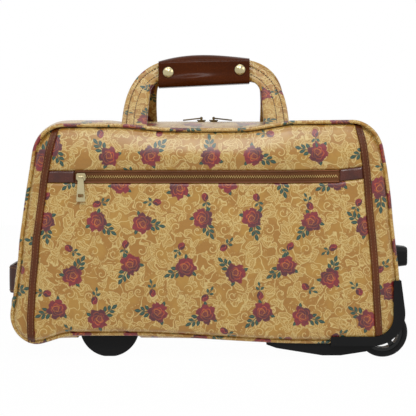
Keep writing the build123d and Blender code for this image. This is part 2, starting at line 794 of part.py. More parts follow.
# Half-moon stand feet in their pockets, screwed to the base from inside
for side, place in ((-1, "front"), (1, "rear")):
    with BuildPart() as stand_foot:
        with BuildSketch(Plane.XZ.offset(-side * foot_y)) as half_moon:
            with Locations((foot_x, foot_centre_z)):
                Circle(foot_radius)
            with Locations((foot_x, foot_top_z / 2)):
                Rectangle(2 * foot_radius, foot_top_z, mode=Mode.INTERSECT)
            fillet(half_moon.vertices().group_by(Axis.Y)[0], foot_flat)
        extrude(amount=foot_width / 2, both=True)
        cheek_edges = stand_foot.faces().filter_by(Axis.Y).edges()
        fillet([edge for level in cheek_edges.group_by(Axis.Z)[:-1] for edge in level], foot_round)
        with Locations((foot_x, side * foot_y, foot_top_z)):
            with GridLocations(foot_screw_pitch, 0, 2, 1):
                Cylinder(screw_radius, 2 * screw_grip, mode=Mode.SUBTRACT)
    save(stand_foot, f"{place}_stand_foot")

with BuildPart() as foot_screws:
    with BuildSketch(Plane.XY.offset(foot_seat_z)):
        with Locations((foot_x, 0)):
            with GridLocations(foot_screw_pitch, 2 * foot_y, 2, 2):
                Circle(screw_head_radius)
    extrude(amount=screw_head_height)
    with BuildSketch(Plane.XY.offset(foot_seat_z)):
        with Locations((foot_x, 0)):
            with GridLocations(foot_screw_pitch, 2 * foot_y, 2, 2):
                Circle(screw_radius)
    extrude(amount=foot_top_z - screw_grip - foot_seat_z)
save(foot_screws, "foot_screws")

# Stand pegs on the right end, level with the wheels when the bag stands upright
for side, place in ((-1, "front"), (1, "rear")):
    with BuildPart() as stand_peg:
        with BuildSketch(Plane.YZ.offset(peg_reach_x)):
            with Locations((side * peg_y, peg_z)):
                RectangleRounded(peg_width, peg_height, peg_round)
        extrude(amount=peg_seat_x - peg_bed - peg_reach_x, taper=-peg_taper)
        fillet(stand_peg.faces().sort_by(Axis.X)[-1].edges(), peg_edge)
        add(body_seat, mode=Mode.SUBTRACT)
        with BuildSketch(Plane.YZ.offset(peg_seat_x)):
            with Locations((side * peg_y, peg_z)):
                Circle(screw_radius)
        extrude(amount=screw_grip, both=True, mode=Mode.SUBTRACT)
    save(stand_peg, f"{place}_stand_peg")

# Wheels: tyre, spoked rim and a pair of bearings on an axle bolt
for side, place in ((-1, "front"), (1, "rear")):
    wheel_plane = Plane((wheel_x, side * wheel_y, wheel_radius), x_dir=(1, 0, 0), z_dir=(0, -1, 0))
    with BuildPart() as tyre:
        with BuildSketch(wheel_plane):
            Circle(wheel_radius)
        extrude(amount=tyre_width / 2, both=True)
        fillet(tyre.edges().filter_by(GeomType.CIRCLE), tyre_round)
        with BuildSketch(wheel_plane):
            Circle(rim_radius)
        extrude(amount=tyre_width, both=True, mode=Mode.SUBTRACT)
    save(tyre, f"{place}_tyre")

    with BuildPart() as rim:
        with BuildSketch(wheel_plane):
            Circle(rim_radius - bearing_gap)
            Circle(rim_inner_radius, mode=Mode.SUBTRACT)
        extrude(amount=rim_width / 2, both=True)
        with BuildSketch(wheel_plane):
            with PolarLocations((rim_inner_radius + rim_radius + hub_radius) / 4, spoke_count, start_angle=90):
                Rectangle((rim_inner_radius + rim_radius - hub_radius) / 2, spoke_width)
        extrude(amount=spoke_depth / 2, both=True)
        with BuildSketch(wheel_plane):
            Circle(hub_radius)
        extrude(amount=hub_width / 2, both=True)
        with BuildSketch(wheel_plane):
            Circle(axle_radius + slide_gap)
        extrude(amount=hub_width, both=True, mode=Mode.SUBTRACT)
        for face in (-1, 1):
            with BuildSketch(wheel_plane.offset(face * (hub_width / 2 - bearing_width))):
                Circle(bearing_radius + bearing_gap)
            extrude(amount=face * overrun, mode=Mode.SUBTRACT)
    save(rim, f"{place}_rim")

    with BuildPart() as bearings:
        for face in (-1, 1):
            with BuildSketch(wheel_plane.offset(face * (hub_width / 2 - bearing_width))):
                Circle(bearing_radius)
                Circle(axle_radius + bearing_gap, mode=Mode.SUBTRACT)
            extrude(amount=face * bearing_width)
    save(bearings, f"{place}_bearings")

    with BuildPart() as axle_bolt:
        outward = wheel_plane if side < 0 else Plane(wheel_plane.origin, x_dir=(1, 0, 0), z_dir=(0, 1, 0))
        reach = (cheek_outer_y - cheek_inner_y) / 2
        with BuildSketch(outward):
            Circle(axle_radius)
        extrude(amount=reach + axle_head_height, both=True)
        with BuildSketch(outward.offset(reach)):
            Circle(axle_head_radius)
        extrude(amount=axle_head_height)
        with BuildSketch(outward.offset(-reach)):
            RegularPolygon(axle_head_radius, 6)
        extrude(amount=-axle_head_height)
    save(axle_bolt, f"{place}_axle_bolt")

    # Moulded housing: bumper skin round the corner, face flange, wheel well and skid
    skin_y = panel_face_y + flange_thickness + housing_gap
    skid_x = wheel_x - skid_length
    with BuildPart() as housing:
        add(seam_prism(band_outer, side * skin_y, side * skid_inner_y))
        add(seam_prism(band_inner, side * skin_y, side * (skid_inner_y - overrun)), mode=Mode.SUBTRACT)
        add(seam_prism(band_outer, side * skin_y, side * (panel_face_y + housing_gap)))
        extrude(flange_window(0), amount=far, both=True, mode=Mode.SUBTRACT)
        add(block(housing_left_x, far, -far, far, -overrun, housing_top_z), mode=Mode.INTERSECT)
        with BuildSketch(Plane.XZ.offset(-side * skid_inner_y)):
            with BuildLine():
                Polyline((skid_x, skid_top_z), (skid_x, skid_top_z - skid_tip_depth),
                         (skid_x + skid_nose_run, skid_top_z - skid_nose_depth),
                         (skid_x + skid_ramp_run, skid_top_z - skid_depth),
                         (skid_x + skid_flat_run, skid_top_z - skid_depth),
                         (skid_x + skid_heel_run, skid_top_z - skid_heel_depth),
                         (wheel_x, skid_top_z), close=True)
            make_face()
        extrude(amount=side * (skid_inner_y - skid_outer_y))
        add(body_seat, mode=Mode.SUBTRACT)
        with BuildSketch(Plane.XZ.offset(-side * cheek_inner_y)):
            with Locations((wheel_x, wheel_radius)):
                Circle(well_outer_radius)
            add(seam_outline(0, band_outer), mode=Mode.INTERSECT)
        extrude(amount=side * (cheek_inner_y - cheek_outer_y))
        with BuildSketch(wheel_plane):
            Circle(well_radius)
        extrude(amount=tyre_width / 2 + cheek_gap, both=True, mode=Mode.SUBTRACT)
        with BuildSketch(wheel_plane):
            Circle(axle_radius + bolt_gap)
        extrude(amount=overrun, both=True, mode=Mode.SUBTRACT)
    save(housing, f"{place}_wheel_housing")

with BuildPart() as peg_screws:
    for side in (-1, 1):
        screw_x = peg_seat_x - wall - screw_head_height
        with BuildSketch(Plane.YZ.offset(screw_x)):
            with Locations((side * peg_y, peg_z)):
                Circle(screw_radius)
        extrude(amount=peg_seat_x + screw_grip - screw_x)
        with BuildSketch(Plane.YZ.offset(screw_x)):
            with Locations((side * peg_y, peg_z)):
                Circle(screw_head_radius)
        extrude(amount=-screw_head_height)
save(peg_screws, "peg_screws")


# Telescopic handle lying on the base board, drawn out of the left end
def tube_pair(x_from, x_to, width, height, hollow):
    """Front and rear rounded square tubes of one stage."""
    with BuildPart() as pair:
        with BuildSketch(Plane.YZ.offset(x_from)):
            with Locations((0, tube_z)):
                with GridLocations(2 * tube_y, 0, 2, 1):
                    RectangleRounded(width, height, tube_round)
                    if hollow:
                        RectangleRounded(width - 2 * tube_wall, height - 2 * tube_wall, tube_round - tube_wall,
                                         mode=Mode.SUBTRACT)
        extrude(amount=x_to - x_from)
    return pair


mid_tube_left_x = cup_floor_x - cup_floor
inner_tube_left_x = grip_leg_end_x - tube_socket
for stage, x_from, x_to, width, height in (
        ("outer", cup_floor_x, outer_tube_right_x, outer_tube_width, outer_tube_height),
        ("mid", mid_tube_left_x, mid_tube_right_x, mid_tube_width, mid_tube_height),
        ("inner", inner_tube_left_x, inner_tube_right_x, inner_tube_width, inner_tube_height)):
    save(tube_pair(x_from, x_to, width, height, True), f"{stage}_tubes")

glide_growth = 2 * (slide_gap - glide_gap)
for stage, x_from, width, height in (
        ("mid", mid_tube_right_x, mid_tube_width + glide_growth, mid_tube_height + glide_growth),
        ("inner", inner_tube_right_x, inner_tube_width + glide_growth, inner_tube_height + glide_growth)):
    save(tube_pair(x_from, x_from + glide_length, width, height, False), f"{stage}_tube_glides")

with BuildPart() as handle_bezel:
    with BuildSketch(Plane.YZ.offset(bezel_face_x)):
        with Locations((0, tube_z)):
            RectangleRounded(2 * (cup_half_width + cup_wall + bezel_lip),
                             cup_height + 2 * (cup_wall + bezel_lip), cup_round + bezel_lip)
    extrude(amount=bezel_depth)
    fillet(handle_bezel.faces().sort_by(Axis.X)[0].edges(), bezel_edge)
    add(body_seat, mode=Mode.SUBTRACT)
    with BuildSketch(Plane.YZ.offset(bezel_face_x + bezel_edge)):
        with Locations((0, tube_z)):
            RectangleRounded(2 * (cup_half_width + cup_wall), cup_height + 2 * cup_wall, cup_round)
    extrude(amount=cup_floor_x - bezel_face_x - bezel_edge)
    with BuildSketch(Plane.YZ.offset(bezel_face_x - overrun)):
        with Locations((0, tube_z)):
            RectangleRounded(2 * cup_half_width, cup_height, cup_round - cup_wall)
    extrude(amount=cup_floor_x - cup_floor - bezel_face_x + overrun, mode=Mode.SUBTRACT)
    with BuildSketch(Plane.YZ.offset(cup_floor_x - overrun)):
        with Locations((0, tube_z)):
            with GridLocations(2 * tube_y, 0, 2, 1):
                RectangleRounded(mid_tube_width + 2 * slide_gap, mid_tube_height + 2 * slide_gap, tube_round)
    extrude(amount=2 * overrun, mode=Mode.SUBTRACT)
save(handle_bezel, "handle_bezel")

with BuildPart() as handle_grip:
    with BuildSketch(Plane.YZ.offset(grip_face_x)):
        with Locations((0, tube_z)):
            RectangleRounded(2 * grip_half_width, grip_height, grip_round)
    extrude(amount=grip_depth)
    fillet(handle_grip.edges().filter_by(Plane.YZ), grip_round / 2)
    with BuildSketch(Plane.YZ.offset(grip_face_x + grip_depth / 2)):
        with Locations((0, tube_z)):
            with GridLocations(2 * tube_y, 0, 2, 1):
                RectangleRounded(grip_leg_width - grip_round, grip_leg_height, tube_round)
    extrude(amount=grip_leg_end_x - grip_face_x - grip_depth / 2)
    with BuildSketch(Plane.YZ.offset(button_tip_x + button_depth)):
        with Locations((0, tube_z)):
            Rectangle(2 * (yoke_half_width + slide_gap), yoke_height + 2 * slide_gap)
    extrude(amount=yoke_depth + button_travel + slide_gap, mode=Mode.SUBTRACT)
    with BuildSketch(Plane.YZ.offset(button_tip_x + button_depth + button_travel + slide_gap)):
        with Locations((0, tube_z)):
            RectangleRounded(button_width + 2 * slide_gap, button_height + 2 * slide_gap, tube_round)
    extrude(amount=-overrun, mode=Mode.SUBTRACT)
    with BuildSketch(Plane.YZ.offset(button_tip_x + button_depth)):
        with Locations((0, tube_z)):
            with GridLocations(2 * tube_y, 0, 2, 1):
                Circle(rod_radius + slide_gap)
    extrude(amount=far, mode=Mode.SUBTRACT)
    with BuildSketch(Plane.YZ.offset(grip_leg_end_x)):
        with Locations((0, tube_z)):
            with GridLocations(2 * tube_y, 0, 2, 1):
                RectangleRounded(inner_tube_width, inner_tube_height, tube_round)
    extrude(amount=-tube_socket, mode=Mode.SUBTRACT)
save(handle_grip, "handle_grip")

with BuildPart() as release_button:
    with BuildSketch(Plane.YZ.offset(button_tip_x)):
        with Locations((0, tube_z)):
            RectangleRounded(button_width, button_height, tube_round)
    extrude(amount=button_depth)
    fillet(release_button.faces().sort_by(Axis.X)[0].edges(), button_stand / 2)
save(release_button, "release_button")

with BuildPart() as release_rods:
    yoke_x = button_tip_x + button_depth
    add(block(yoke_x, yoke_x + yoke_depth, -yoke_half_width, yoke_half_width,
              tube_z - yoke_height / 2, tube_z + yoke_height / 2))
    with BuildSketch(Plane.YZ.offset(yoke_x + yoke_depth)):
        with Locations((0, tube_z)):
            with GridLocations(2 * tube_y, 0, 2, 1):
                Circle(rod_radius)
    extrude(amount=rod_end_x - yoke_x - yoke_depth)
save(release_rods, "release_rods")

for name, x_from, length in (("tube_saddle", saddle_x, saddle_length),
                             ("tube_bracket", board_right_x - bracket_length, bracket_length)):
    block_half = tube_y + outer_tube_width / 2 + block_margin
    with BuildPart() as holder:
        with BuildSketch(Plane.YZ.offset(x_from)) as profile:
            with BuildLine():
                Polyline((-block_half, board_top_z), (block_half, board_top_z),
                         (block_half, tube_z + outer_tube_height / 2 + block_margin),
                         (-block_half, tube_z + outer_tube_height / 2 + block_margin), close=True)
            make_face()
            fillet(profile.vertices().group_by(Axis.Y)[-1], block_round)
            inner_half = tube_y - outer_tube_width / 2 - block_margin
            with Locations((0, board_top_z + block_margin + high / 2)):
                Rectangle(2 * inner_half, high, mode=Mode.SUBTRACT)
        extrude(amount=length)
        with BuildSketch(Plane.YZ.offset(x_from - overrun)):
            with Locations((0, tube_z)):
                with GridLocations(2 * tube_y, 0, 2, 1):
                    RectangleRounded(outer_tube_width + 2 * bolt_gap,
                                     outer_tube_height + 2 * bolt_gap, tube_round)
        tube_run = outer_tube_right_x - x_from if name == "tube_bracket" else length + overrun
        extrude(amount=tube_run + overrun, mode=Mode.SUBTRACT)
    save(holder, name)
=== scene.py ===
# %% [markdown]
# A rolling duffel, dressed in its cloth, leather and metal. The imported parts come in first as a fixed
# frame: everything that moves or carries load is already there at its real size. This lesson adds the
# soft pieces as surfaces worked out with numpy, and gives each visible piece a finish of its own.

import bpy
import numpy as np
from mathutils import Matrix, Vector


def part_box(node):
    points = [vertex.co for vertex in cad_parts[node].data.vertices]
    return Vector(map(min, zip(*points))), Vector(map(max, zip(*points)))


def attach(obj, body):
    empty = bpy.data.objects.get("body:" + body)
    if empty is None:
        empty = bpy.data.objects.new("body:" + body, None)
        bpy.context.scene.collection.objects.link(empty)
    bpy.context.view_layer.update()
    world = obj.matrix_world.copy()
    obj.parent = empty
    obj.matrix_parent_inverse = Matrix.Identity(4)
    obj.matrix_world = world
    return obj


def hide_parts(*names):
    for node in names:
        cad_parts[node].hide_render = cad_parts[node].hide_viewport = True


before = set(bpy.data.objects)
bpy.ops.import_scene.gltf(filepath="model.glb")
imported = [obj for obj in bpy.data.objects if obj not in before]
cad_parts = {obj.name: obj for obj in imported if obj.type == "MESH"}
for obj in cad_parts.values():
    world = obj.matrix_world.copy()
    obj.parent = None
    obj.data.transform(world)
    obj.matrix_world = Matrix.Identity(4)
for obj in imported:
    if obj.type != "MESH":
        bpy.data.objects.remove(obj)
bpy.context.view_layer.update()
MM = 0.001

# %% [markdown]
# A product photograph of a bag is taken from a little above, far enough away that the sides hardly
# show. A short lens near the bag would show its ends and swell its middle, so this one is long and
# stands two metres off.

# %% Camera
camera_x, camera_distance, camera_height = 0.7 * MM, 2.0, 0.30
camera_tilt = np.radians(90 - 2.72)
lens_mm, sensor_mm = 117.8, 36.0
camera = bpy.data.objects.new("camera", bpy.data.cameras.new("camera"))
camera.data.lens, camera.data.sensor_width = lens_mm, sensor_mm
camera.location = (camera_x, -camera_distance, camera_height)
camera.rotation_euler = (camera_tilt, 0, 0)
bpy.context.scene.collection.objects.link(camera)
bpy.context.scene.camera = camera
bpy.context.scene.view_settings.view_transform = "Standard"
print("camera at", tuple(round(c, 3) for c in camera.location))

# %% [markdown]
# A finish is a graph of nodes. It could be clicked together in the shader editor; written as code it can
# be read, compared and built again. One function adds a node with its settings and links, one turns a
# hex colour into the linear light that Blender works in, and one starts an empty material.


# %% Helpers for node graphs
def add(tree, kind, inputs=None, **settings):
    """Add one node: settings are its properties, inputs are values or other nodes' sockets."""
    new = tree.nodes.new(kind)
    for name, value in settings.items():
        setattr(new, name, value)
    for name, value in (inputs or {}).items():
        if isinstance(value, bpy.types.NodeSocket):
            tree.links.new(value, new.inputs[name])
        else:
            new.inputs[name].default_value = value
    return new


def linear(hex_colour):
    """An sRGB hex colour as linear RGBA."""
    srgb = np.array([int(hex_colour[i:i + 2], 16) for i in (1, 3, 5)]) / 255
    light = np.where(srgb <= 0.04045, srgb / 12.92, ((srgb + 0.055) / 1.055) ** 2.4)
    return (*light.tolist(), 1.0)


def new_material(name):
    """An empty material, its node tree and its output node."""
    material = bpy.data.materials.new(name)
    material.use_nodes = True
    material.node_tree.nodes.clear()
    return material, material.node_tree, add(material.node_tree, "ShaderNodeOutputMaterial")


white = linear("#ffffff")
print("middle grey in linear light", round(linear("#808080")[0], 3))

# %% [markdown]
# The floor and the backdrop are white to the camera and in reflections. Light that spreads meets a dimmer
# world, so the bag keeps its colours; more light on everything would bleach them. Light Path tells the
# two kinds of ray apart. The floor keeps a trace of its own paint, and with it a faint shadow, so that
# the wheels stand on something.

# %% White floor and backdrop
fill_strength, glow_share, floor_half = 0.34, 0.985, 3.0


def seen_directly(tree):
    """1 for rays that come from the camera, a mirror or glass, 0 for light that spreads."""
    path = add(tree, "ShaderNodeLightPath")
    seen = path.outputs["Is Camera Ray"]
    for kind in ("Is Glossy Ray", "Is Transmission Ray"):
        seen = add(tree, "ShaderNodeMath", {0: seen, 1: path.outputs[kind]}, operation="MAXIMUM").outputs[0]
    return seen


world = bpy.data.worlds.new("studio")
world.use_nodes = True
world.node_tree.nodes.clear()
white_to_eye = add(world.node_tree, "ShaderNodeMapRange",
                   {"Value": seen_directly(world.node_tree), "To Min": fill_strength, "To Max": 1.0})
sky = add(world.node_tree, "ShaderNodeBackground", {"Color": white, "Strength": white_to_eye.outputs[0]})
add(world.node_tree, "ShaderNodeOutputWorld", {"Surface": sky.outputs[0]})
bpy.context.scene.world = world

# Painted floor, matt white: it has no shine, so only the shadow shows on it.
floor_material, tree, output = new_material("painted_floor_white")
floor_paint = add(tree, "ShaderNodeBsdfDiffuse", {"Color": linear("#f4f4f2")})
floor_glow = add(tree, "ShaderNodeEmission", {"Color": white, "Strength": 1.0})
glow = add(tree, "ShaderNodeMath", {0: seen_directly(tree), 1: glow_share}, operation="MULTIPLY")
floor_mix = add(tree, "ShaderNodeMixShader",
                {0: glow.outputs[0], 1: floor_paint.outputs[0], 2: floor_glow.outputs[0]})
tree.links.new(floor_mix.outputs[0], output.inputs["Surface"])
floor_corners = np.array([(-1, -1, 0), (1, -1, 0), (1, 1, 0), (-1, 1, 0)]) * floor_half
floor_mesh = bpy.data.meshes.new("floor")
floor_mesh.from_pydata(floor_corners.tolist(), [], [(0, 1, 2, 3)])
floor_mesh.materials.append(floor_material)
floor = bpy.data.objects.new("floor", floor_mesh)
bpy.context.scene.collection.objects.link(floor)
print("floor", 2 * floor_half, "m wide")

# %% [markdown]
# Large lamps give soft shadows, as the light tents of a studio do; a sun lamp would cut them hard. The key
# stands at the upper left and a fill at the right. One above the camera lays its shine along the upper
# pocket, and one overhead lights the handles. Places and sizes are in metres, turns in degrees, power in
# watts.

# %% Soft lamps
for name, place, turn, size, power in (
        ("key", (-0.9, -1.7, 1.9), (48, 0, -28), 0.6, 7.2),
        ("fill", (1.5, -1.5, 1.1), (64, 0, 45), 0.8, 5.4),
        ("front", (0.05, -1.7, 1.5), (53, 0, 2), 0.4, 10.5),
        ("top", (0.1, -0.6, 2.2), (14, 0, 0), 1.0, 8)):
    lamp = bpy.data.objects.new(name, bpy.data.lights.new(name, "AREA"))
    lamp.data.size, lamp.data.energy = size, power
    lamp.location, lamp.rotation_euler = place, np.radians(turn)
    bpy.context.scene.collection.objects.link(lamp)
    print(name, "lamp", power, "W")

# %% [markdown]
# The printed cloth is the face of this bag: coated canvas with rose sprigs on a gold lace ground. A
# print like this could be an image, but here it is a formula, so it stays sharp at any distance. Each
# number of the formula is a Math node; a small class lets Python's own signs write those nodes.


# %% Arithmetic that writes Math nodes
class Field:
    """A number that varies over the cloth; adding or multiplying two of them adds a Math node."""

    def __init__(self, tree, socket):
        self.tree, self.socket = tree, socket

    def math(self, operation, *terms):
        values = [term.socket if isinstance(term, Field) else term for term in (self, *terms)]
        node = add(self.tree, "ShaderNodeMath", dict(enumerate(values)), operation=operation)
        return Field(self.tree, node.outputs[0])

    def __add__(self, other):
        return self.math("ADD", other)

    def __sub__(self, other):
        return self.math("SUBTRACT", other)

    def __mul__(self, other):
        return self.math("MULTIPLY", other)

    def __truediv__(self, other):
        return self.math("DIVIDE", other)

    def __abs__(self):
        return self.math("ABSOLUTE")

    __radd__, __rmul__ = __add__, __mul__

    def __rsub__(self, other):
        return self * -1 + other

    def limited(self):
        """Held between 0 and 1."""
        return self.math("MINIMUM", 1.0).math("MAXIMUM", 0.0)

    def inside(self, edge, softness):
        """1 where this is well below edge, 0 where it is well above."""
        return ((edge - self) / softness + 0.5).limited()


def turned(x, y, angle):
    """A point seen from axes turned by an angle, which may vary."""
    if isinstance(angle, Field):
        c, s = angle.math("COSINE"), angle.math("SINE")
    else:
        c, s = float(np.cos(angle)), float(np.sin(angle))
    return x * c + y * s, y * c - x * s


def distance(x, y, centre=(0, 0)):
    """Distance from a centre (a, b): the root of (x - a)^2 + (y - b)^2."""
    across, up = x - centre[0], y - centre[1]
    return (across * across + up * up).math("SQRT")


def painted(tree, under, over, mask):
    """Lay one colour over another where the mask is 1."""
    mix = add(tree, "ShaderNodeMix", {"Factor": mask.socket, 6: under, 7: over}, data_type="RGBA")
    return mix.outputs[2]


print("signs that write Math nodes: + - * / and abs")

# %% [markdown]
# One sprig is a stem with leaflets and a flower. Each shape is a mask, worked out from the distance to its
# rim; cut-out pictures would blur close by. The sprigs sit in staggered cells, and a white-noise number
# for each cell turns and shifts its sprig, so the repeat doesn't show. Buds sit in a second set of cells
# between them. All sizes are millimetres on the cloth.

# %% Sprigs and their leaves
edge_blur, fray_size = 0.5, 5
sprig_cell, sprig_wander, bud_wander = (72, 62), 10, 16
rose_back, rose_size, middle_size, heart_size = 9, 14.2, 9.4, 5.0
bud_back, bud_size, bud_heart = 5.5, 5.2, 4.2
# A leaflet is drawn as a pair or singly; then come its start, angle, length and width.
rose_leaves = ((True, (3, 2), 0.75, 9.5, 5.0), (True, (9, 1), 0.6, 8.5, 4.6),
               (False, (14, 0), 0.0, 10, 5.0), (True, (-14, 8), 1.9, 9.5, 4.8))
bud_leaves = ((True, (2, 1), 0.8, 6.6, 3.7), (False, (7, 0), 0.25, 7.4, 3.5),
              (True, (-7.5, 1.5), 0.5, 5, 1.7))
# A stem has a middle, a half length and a half width.
rose_stem, bud_stem = (6, 9, 0.55), (3, 5, 0.45)
burgundy, crimson, orange, vein = (linear(c) for c in ("#4c0a18", "#881721", "#bb4120", "#d9822c"))
leaf_green, rib_green = linear("#0a352a"), linear("#3a6e51")


def sprig_cells(tree, u, v, cell, wander, seed):
    """Position inside a staggered cell, turned at random, and two of the cell's random numbers."""
    width, height = cell
    row = (v / height).math("FLOOR")
    across = u / width + (row * 0.5).math("FRACT")
    column = across.math("FLOOR")
    number = add(tree, "ShaderNodeCombineXYZ", {0: column.socket, 1: row.socket, 2: seed})
    noise = add(tree, "ShaderNodeTexWhiteNoise", {"Vector": number.outputs[0]}, noise_dimensions="3D")
    parts = add(tree, "ShaderNodeSeparateColor", {0: noise.outputs["Color"]})
    first, second, third = (Field(tree, socket) for socket in parts.outputs[:3])
    x = (across - column - 0.5) * width + (first - 0.5) * wander
    y = (v / height - row - 0.5) * height + (second - 0.5) * wander
    x, y = turned(x, y, third * (2 * np.pi))
    return x, y, first, second


def leaflet(x, y, start, angle, length, width):
    """Mask and midrib of a lens-shaped leaf: half width times (1 - (2a/length)^2) at a along it."""
    along, across = turned(x - start[0], y - start[1], angle)
    along = (along - length / 2) / (length / 2)
    half = (1 - along * along) * (width / 2)
    blade = (abs(across) - half).inside(0, edge_blur)
    return blade, (abs(across) + abs(along) * 0.3).inside(0.45, edge_blur) * blade


def leafy_stem(tree, colour, x, y, leaves, stem, ragged, fray_along):
    """A stem with its leaflets painted over a colour; a pair is drawn once by folding along the stem."""
    middle, half_length, half_width = stem
    frayed_x, frayed_y = x + ragged * fray_along, y + ragged
    folded = abs(frayed_y)
    blades, ribs = None, None
    for paired, *leaf_size in leaves:
        blade, rib = leaflet(frayed_x, folded if paired else frayed_y, *leaf_size)
        blades = blade if blades is None else blades.math("MAXIMUM", blade)
        ribs = rib if ribs is None else ribs.math("MAXIMUM", rib)
    past_end = (abs(x - middle) - half_length).math("MAXIMUM", 0.0)
    stalk = (abs(y) + past_end).inside(half_width, edge_blur)
    colour = painted(tree, colour, leaf_green, blades.math("MAXIMUM", stalk))
    return painted(tree, colour, rib_green, ribs * 0.8)


print("sprigs", sprig_cell, "mm apart, with", len(rose_leaves), "leaves and pairs of leaves")

# %% [markdown]
# A rose is three scalloped rings of petals, one inside the other, and a bud is a small ellipse. A picture
# of a flower would bring its own light along; here the lit side is a mask as well, so every rim and crease
# sits where the drawing wants it.


# %% Roses and buds
def petal_ring(radius, angle, size, petals, turn, depth):
    """Distance outwards over a scalloped ring's own radius: size * (1 - depth + depth * |cos|^0.6)."""
    scallop = abs((angle * (petals / 2) + turn).math("COSINE")).math("POWER", 0.6)
    return radius / (scallop * (size * depth) + size * (1 - depth))


def rose(tree, colour, x, y, twist, ragged):
    """Petal rings about 0, 0: bright rims on the lit side, creases between petals, flames in the heart."""
    angle = y.math("ARCTAN2", x)
    radius = distance(x, y) * (1.0 + ragged * 0.5)
    middle_radius = distance(x, y, (0, 1.2)) * (1.0 + ragged * 0.4)
    heart_radius = distance(x, y, (1.0, -0.9))
    outer = petal_ring(radius, angle, rose_size, petals=6, turn=twist, depth=0.26)
    middle = petal_ring(middle_radius, angle, middle_size, petals=5, turn=twist + 1.1, depth=0.28)
    heart = petal_ring(heart_radius, angle, heart_size, petals=3, turn=twist + 0.4, depth=0.36)
    lit = ((x * 0.6 + y * 0.8) / rose_size + 0.6).inside(0.5, 1.3)
    colour = painted(tree, colour, painted(tree, burgundy, crimson, lit), outer.inside(1, 0.05))
    for ring, light, width in ((outer, crimson, 0.12), (middle, orange, 0.16), (heart, vein, 0.24)):
        rim = ring.inside(1, 0.06) - ring.inside(1 - width, 0.14)
        colour = painted(tree, colour, light, rim * (0.3 + 0.7 * lit))
    folds = abs((angle * 3.5 + radius * 0.55 + twist).math("SINE"))
    creases = folds.inside(0.16, 0.12) * outer.inside(0.92, 0.1) * radius.math("GREATER_THAN", 3.4)
    colour = painted(tree, colour, burgundy, creases * 0.85)
    flame = abs((angle * 2 - radius * 0.8 + twist + ragged * 2).math("SINE")).inside(0.17, 0.14)
    return painted(tree, colour, vein, flame * middle.inside(0.98, 0.1) * (0.35 + 0.6 * lit))


def bud(tree, colour, x, y, ragged):
    """An ellipse about 0, 0, lit from one side, with one bright fold that bends as a sine does."""
    radius = (x * x * 0.8 + y * y * 1.25).math("SQRT") * (1.0 + ragged * 0.4)
    lit = ((x * 0.7 + y * 0.7) / 5 + 0.6).inside(0.4, 1.2)
    red = painted(tree, burgundy, crimson, lit)
    colour = painted(tree, colour, red, radius.inside(bud_size, edge_blur))
    fold_line = abs(y + (x * 0.8).math("SINE") * 1.3).inside(0.45, 0.5)
    return painted(tree, colour, orange, fold_line * radius.inside(bud_heart, 1.0))


def rose_print(tree, u, v, ground):
    """Roses, then buds half a cell away from them, laid over the ground colour."""
    place = add(tree, "ShaderNodeCombineXYZ", {0: u.socket, 1: v.socket})
    fray = add(tree, "ShaderNodeTexNoise",
               {"Vector": place.outputs[0], "Scale": 1 / fray_size, "Detail": 2.0}, noise_dimensions="2D")
    ragged = Field(tree, fray.outputs[0]) - 0.5
    x, y, _, chance = sprig_cells(tree, u, v, sprig_cell, sprig_wander, seed=3.7)
    colour = leafy_stem(tree, ground, x, y, rose_leaves, rose_stem, ragged, fray_along=1.5)
    colour = rose(tree, colour, x + rose_back, y, chance * 3, ragged)
    half_across, half_up = sprig_cell[0] / 2, sprig_cell[1] / 2
    x, y, _, _ = sprig_cells(tree, u + half_across, v + half_up, sprig_cell, bud_wander, seed=8.2)
    colour = leafy_stem(tree, colour, x, y, bud_leaves, bud_stem, ragged, fray_along=1.0)
    return bud(tree, colour, x + bud_back, y, ragged)


print("roses", 2 * rose_size, "mm wide, buds about", 2 * bud_size, "mm")

# %% [markdown]
# The ground between the sprigs is lace: cream lines on gold. Leaves with scalloped rims and hatched
# blades, thin bent threads between them, small curls and dots. The threads are the borders of Voronoi
# cells, bent by noise, because straight borders would look like cracked mud. Broad soft noise leaves
# plain gold patches.

# %% Lace ground
gold, deep_gold, cream = (linear(c) for c in ("#b98a33", "#ab7825", "#dec47e"))
bend_size, bend_reach, patch_size = 19, 18, 30
mesh_size, thread_half = 25, 0.6
lace_cell, lace_wander = (43, 37), 8
curl_cell, curl_wander, curl_shift = (33, 29), 11, (11, 7)
curl_radius, curl_clear, dot_pitch, dot_radius = 7.2, 8, 3.4, 0.75
# Sprays of lace leaves: the shift of their cells, a seed, and leaves written as a sprig's are.
lace_sprays = (
    ((0, 0), 5.1, ((True, (1, 1), 0.85, 17, 10), (False, (6, 0), 0.0, 16, 9.5),
                   (True, (-4, 3), 2.3, 14, 8.5))),
    ((21, 18), 9.4, ((True, (0, 1), 0.6, 15, 9), (True, (-2, 2), 2.0, 12, 7.5))))


def lace_leaf(x, y, start, angle, length, width):
    """Line work and blade of a leaf: half width (1 - t^2) with a scalloped rim, midrib, slanted hatching."""
    along, across = turned(x - start[0], y - start[1], angle)
    share = (along - length / 2) / (length / 2)
    scallop = abs((share * 7).math("SINE")) * 0.16 + 0.92
    half = (1 - share * share) * scallop * (width / 2)
    side = abs(across)
    within = abs(share).inside(1.0, 0.06)
    rim = abs(side - half).inside(0.62, 0.5)
    rib = side.inside(0.35, 0.35)
    hatch = abs(((along + side * 0.9) * (np.pi / 3.0)).math("SINE")).inside(0.45, 0.35)
    blade = (side - half).inside(0, 0.4)
    drawn = rim.math("MAXIMUM", rib * blade).math("MAXIMUM", hatch * blade * 0.75)
    return within * drawn, within * blade


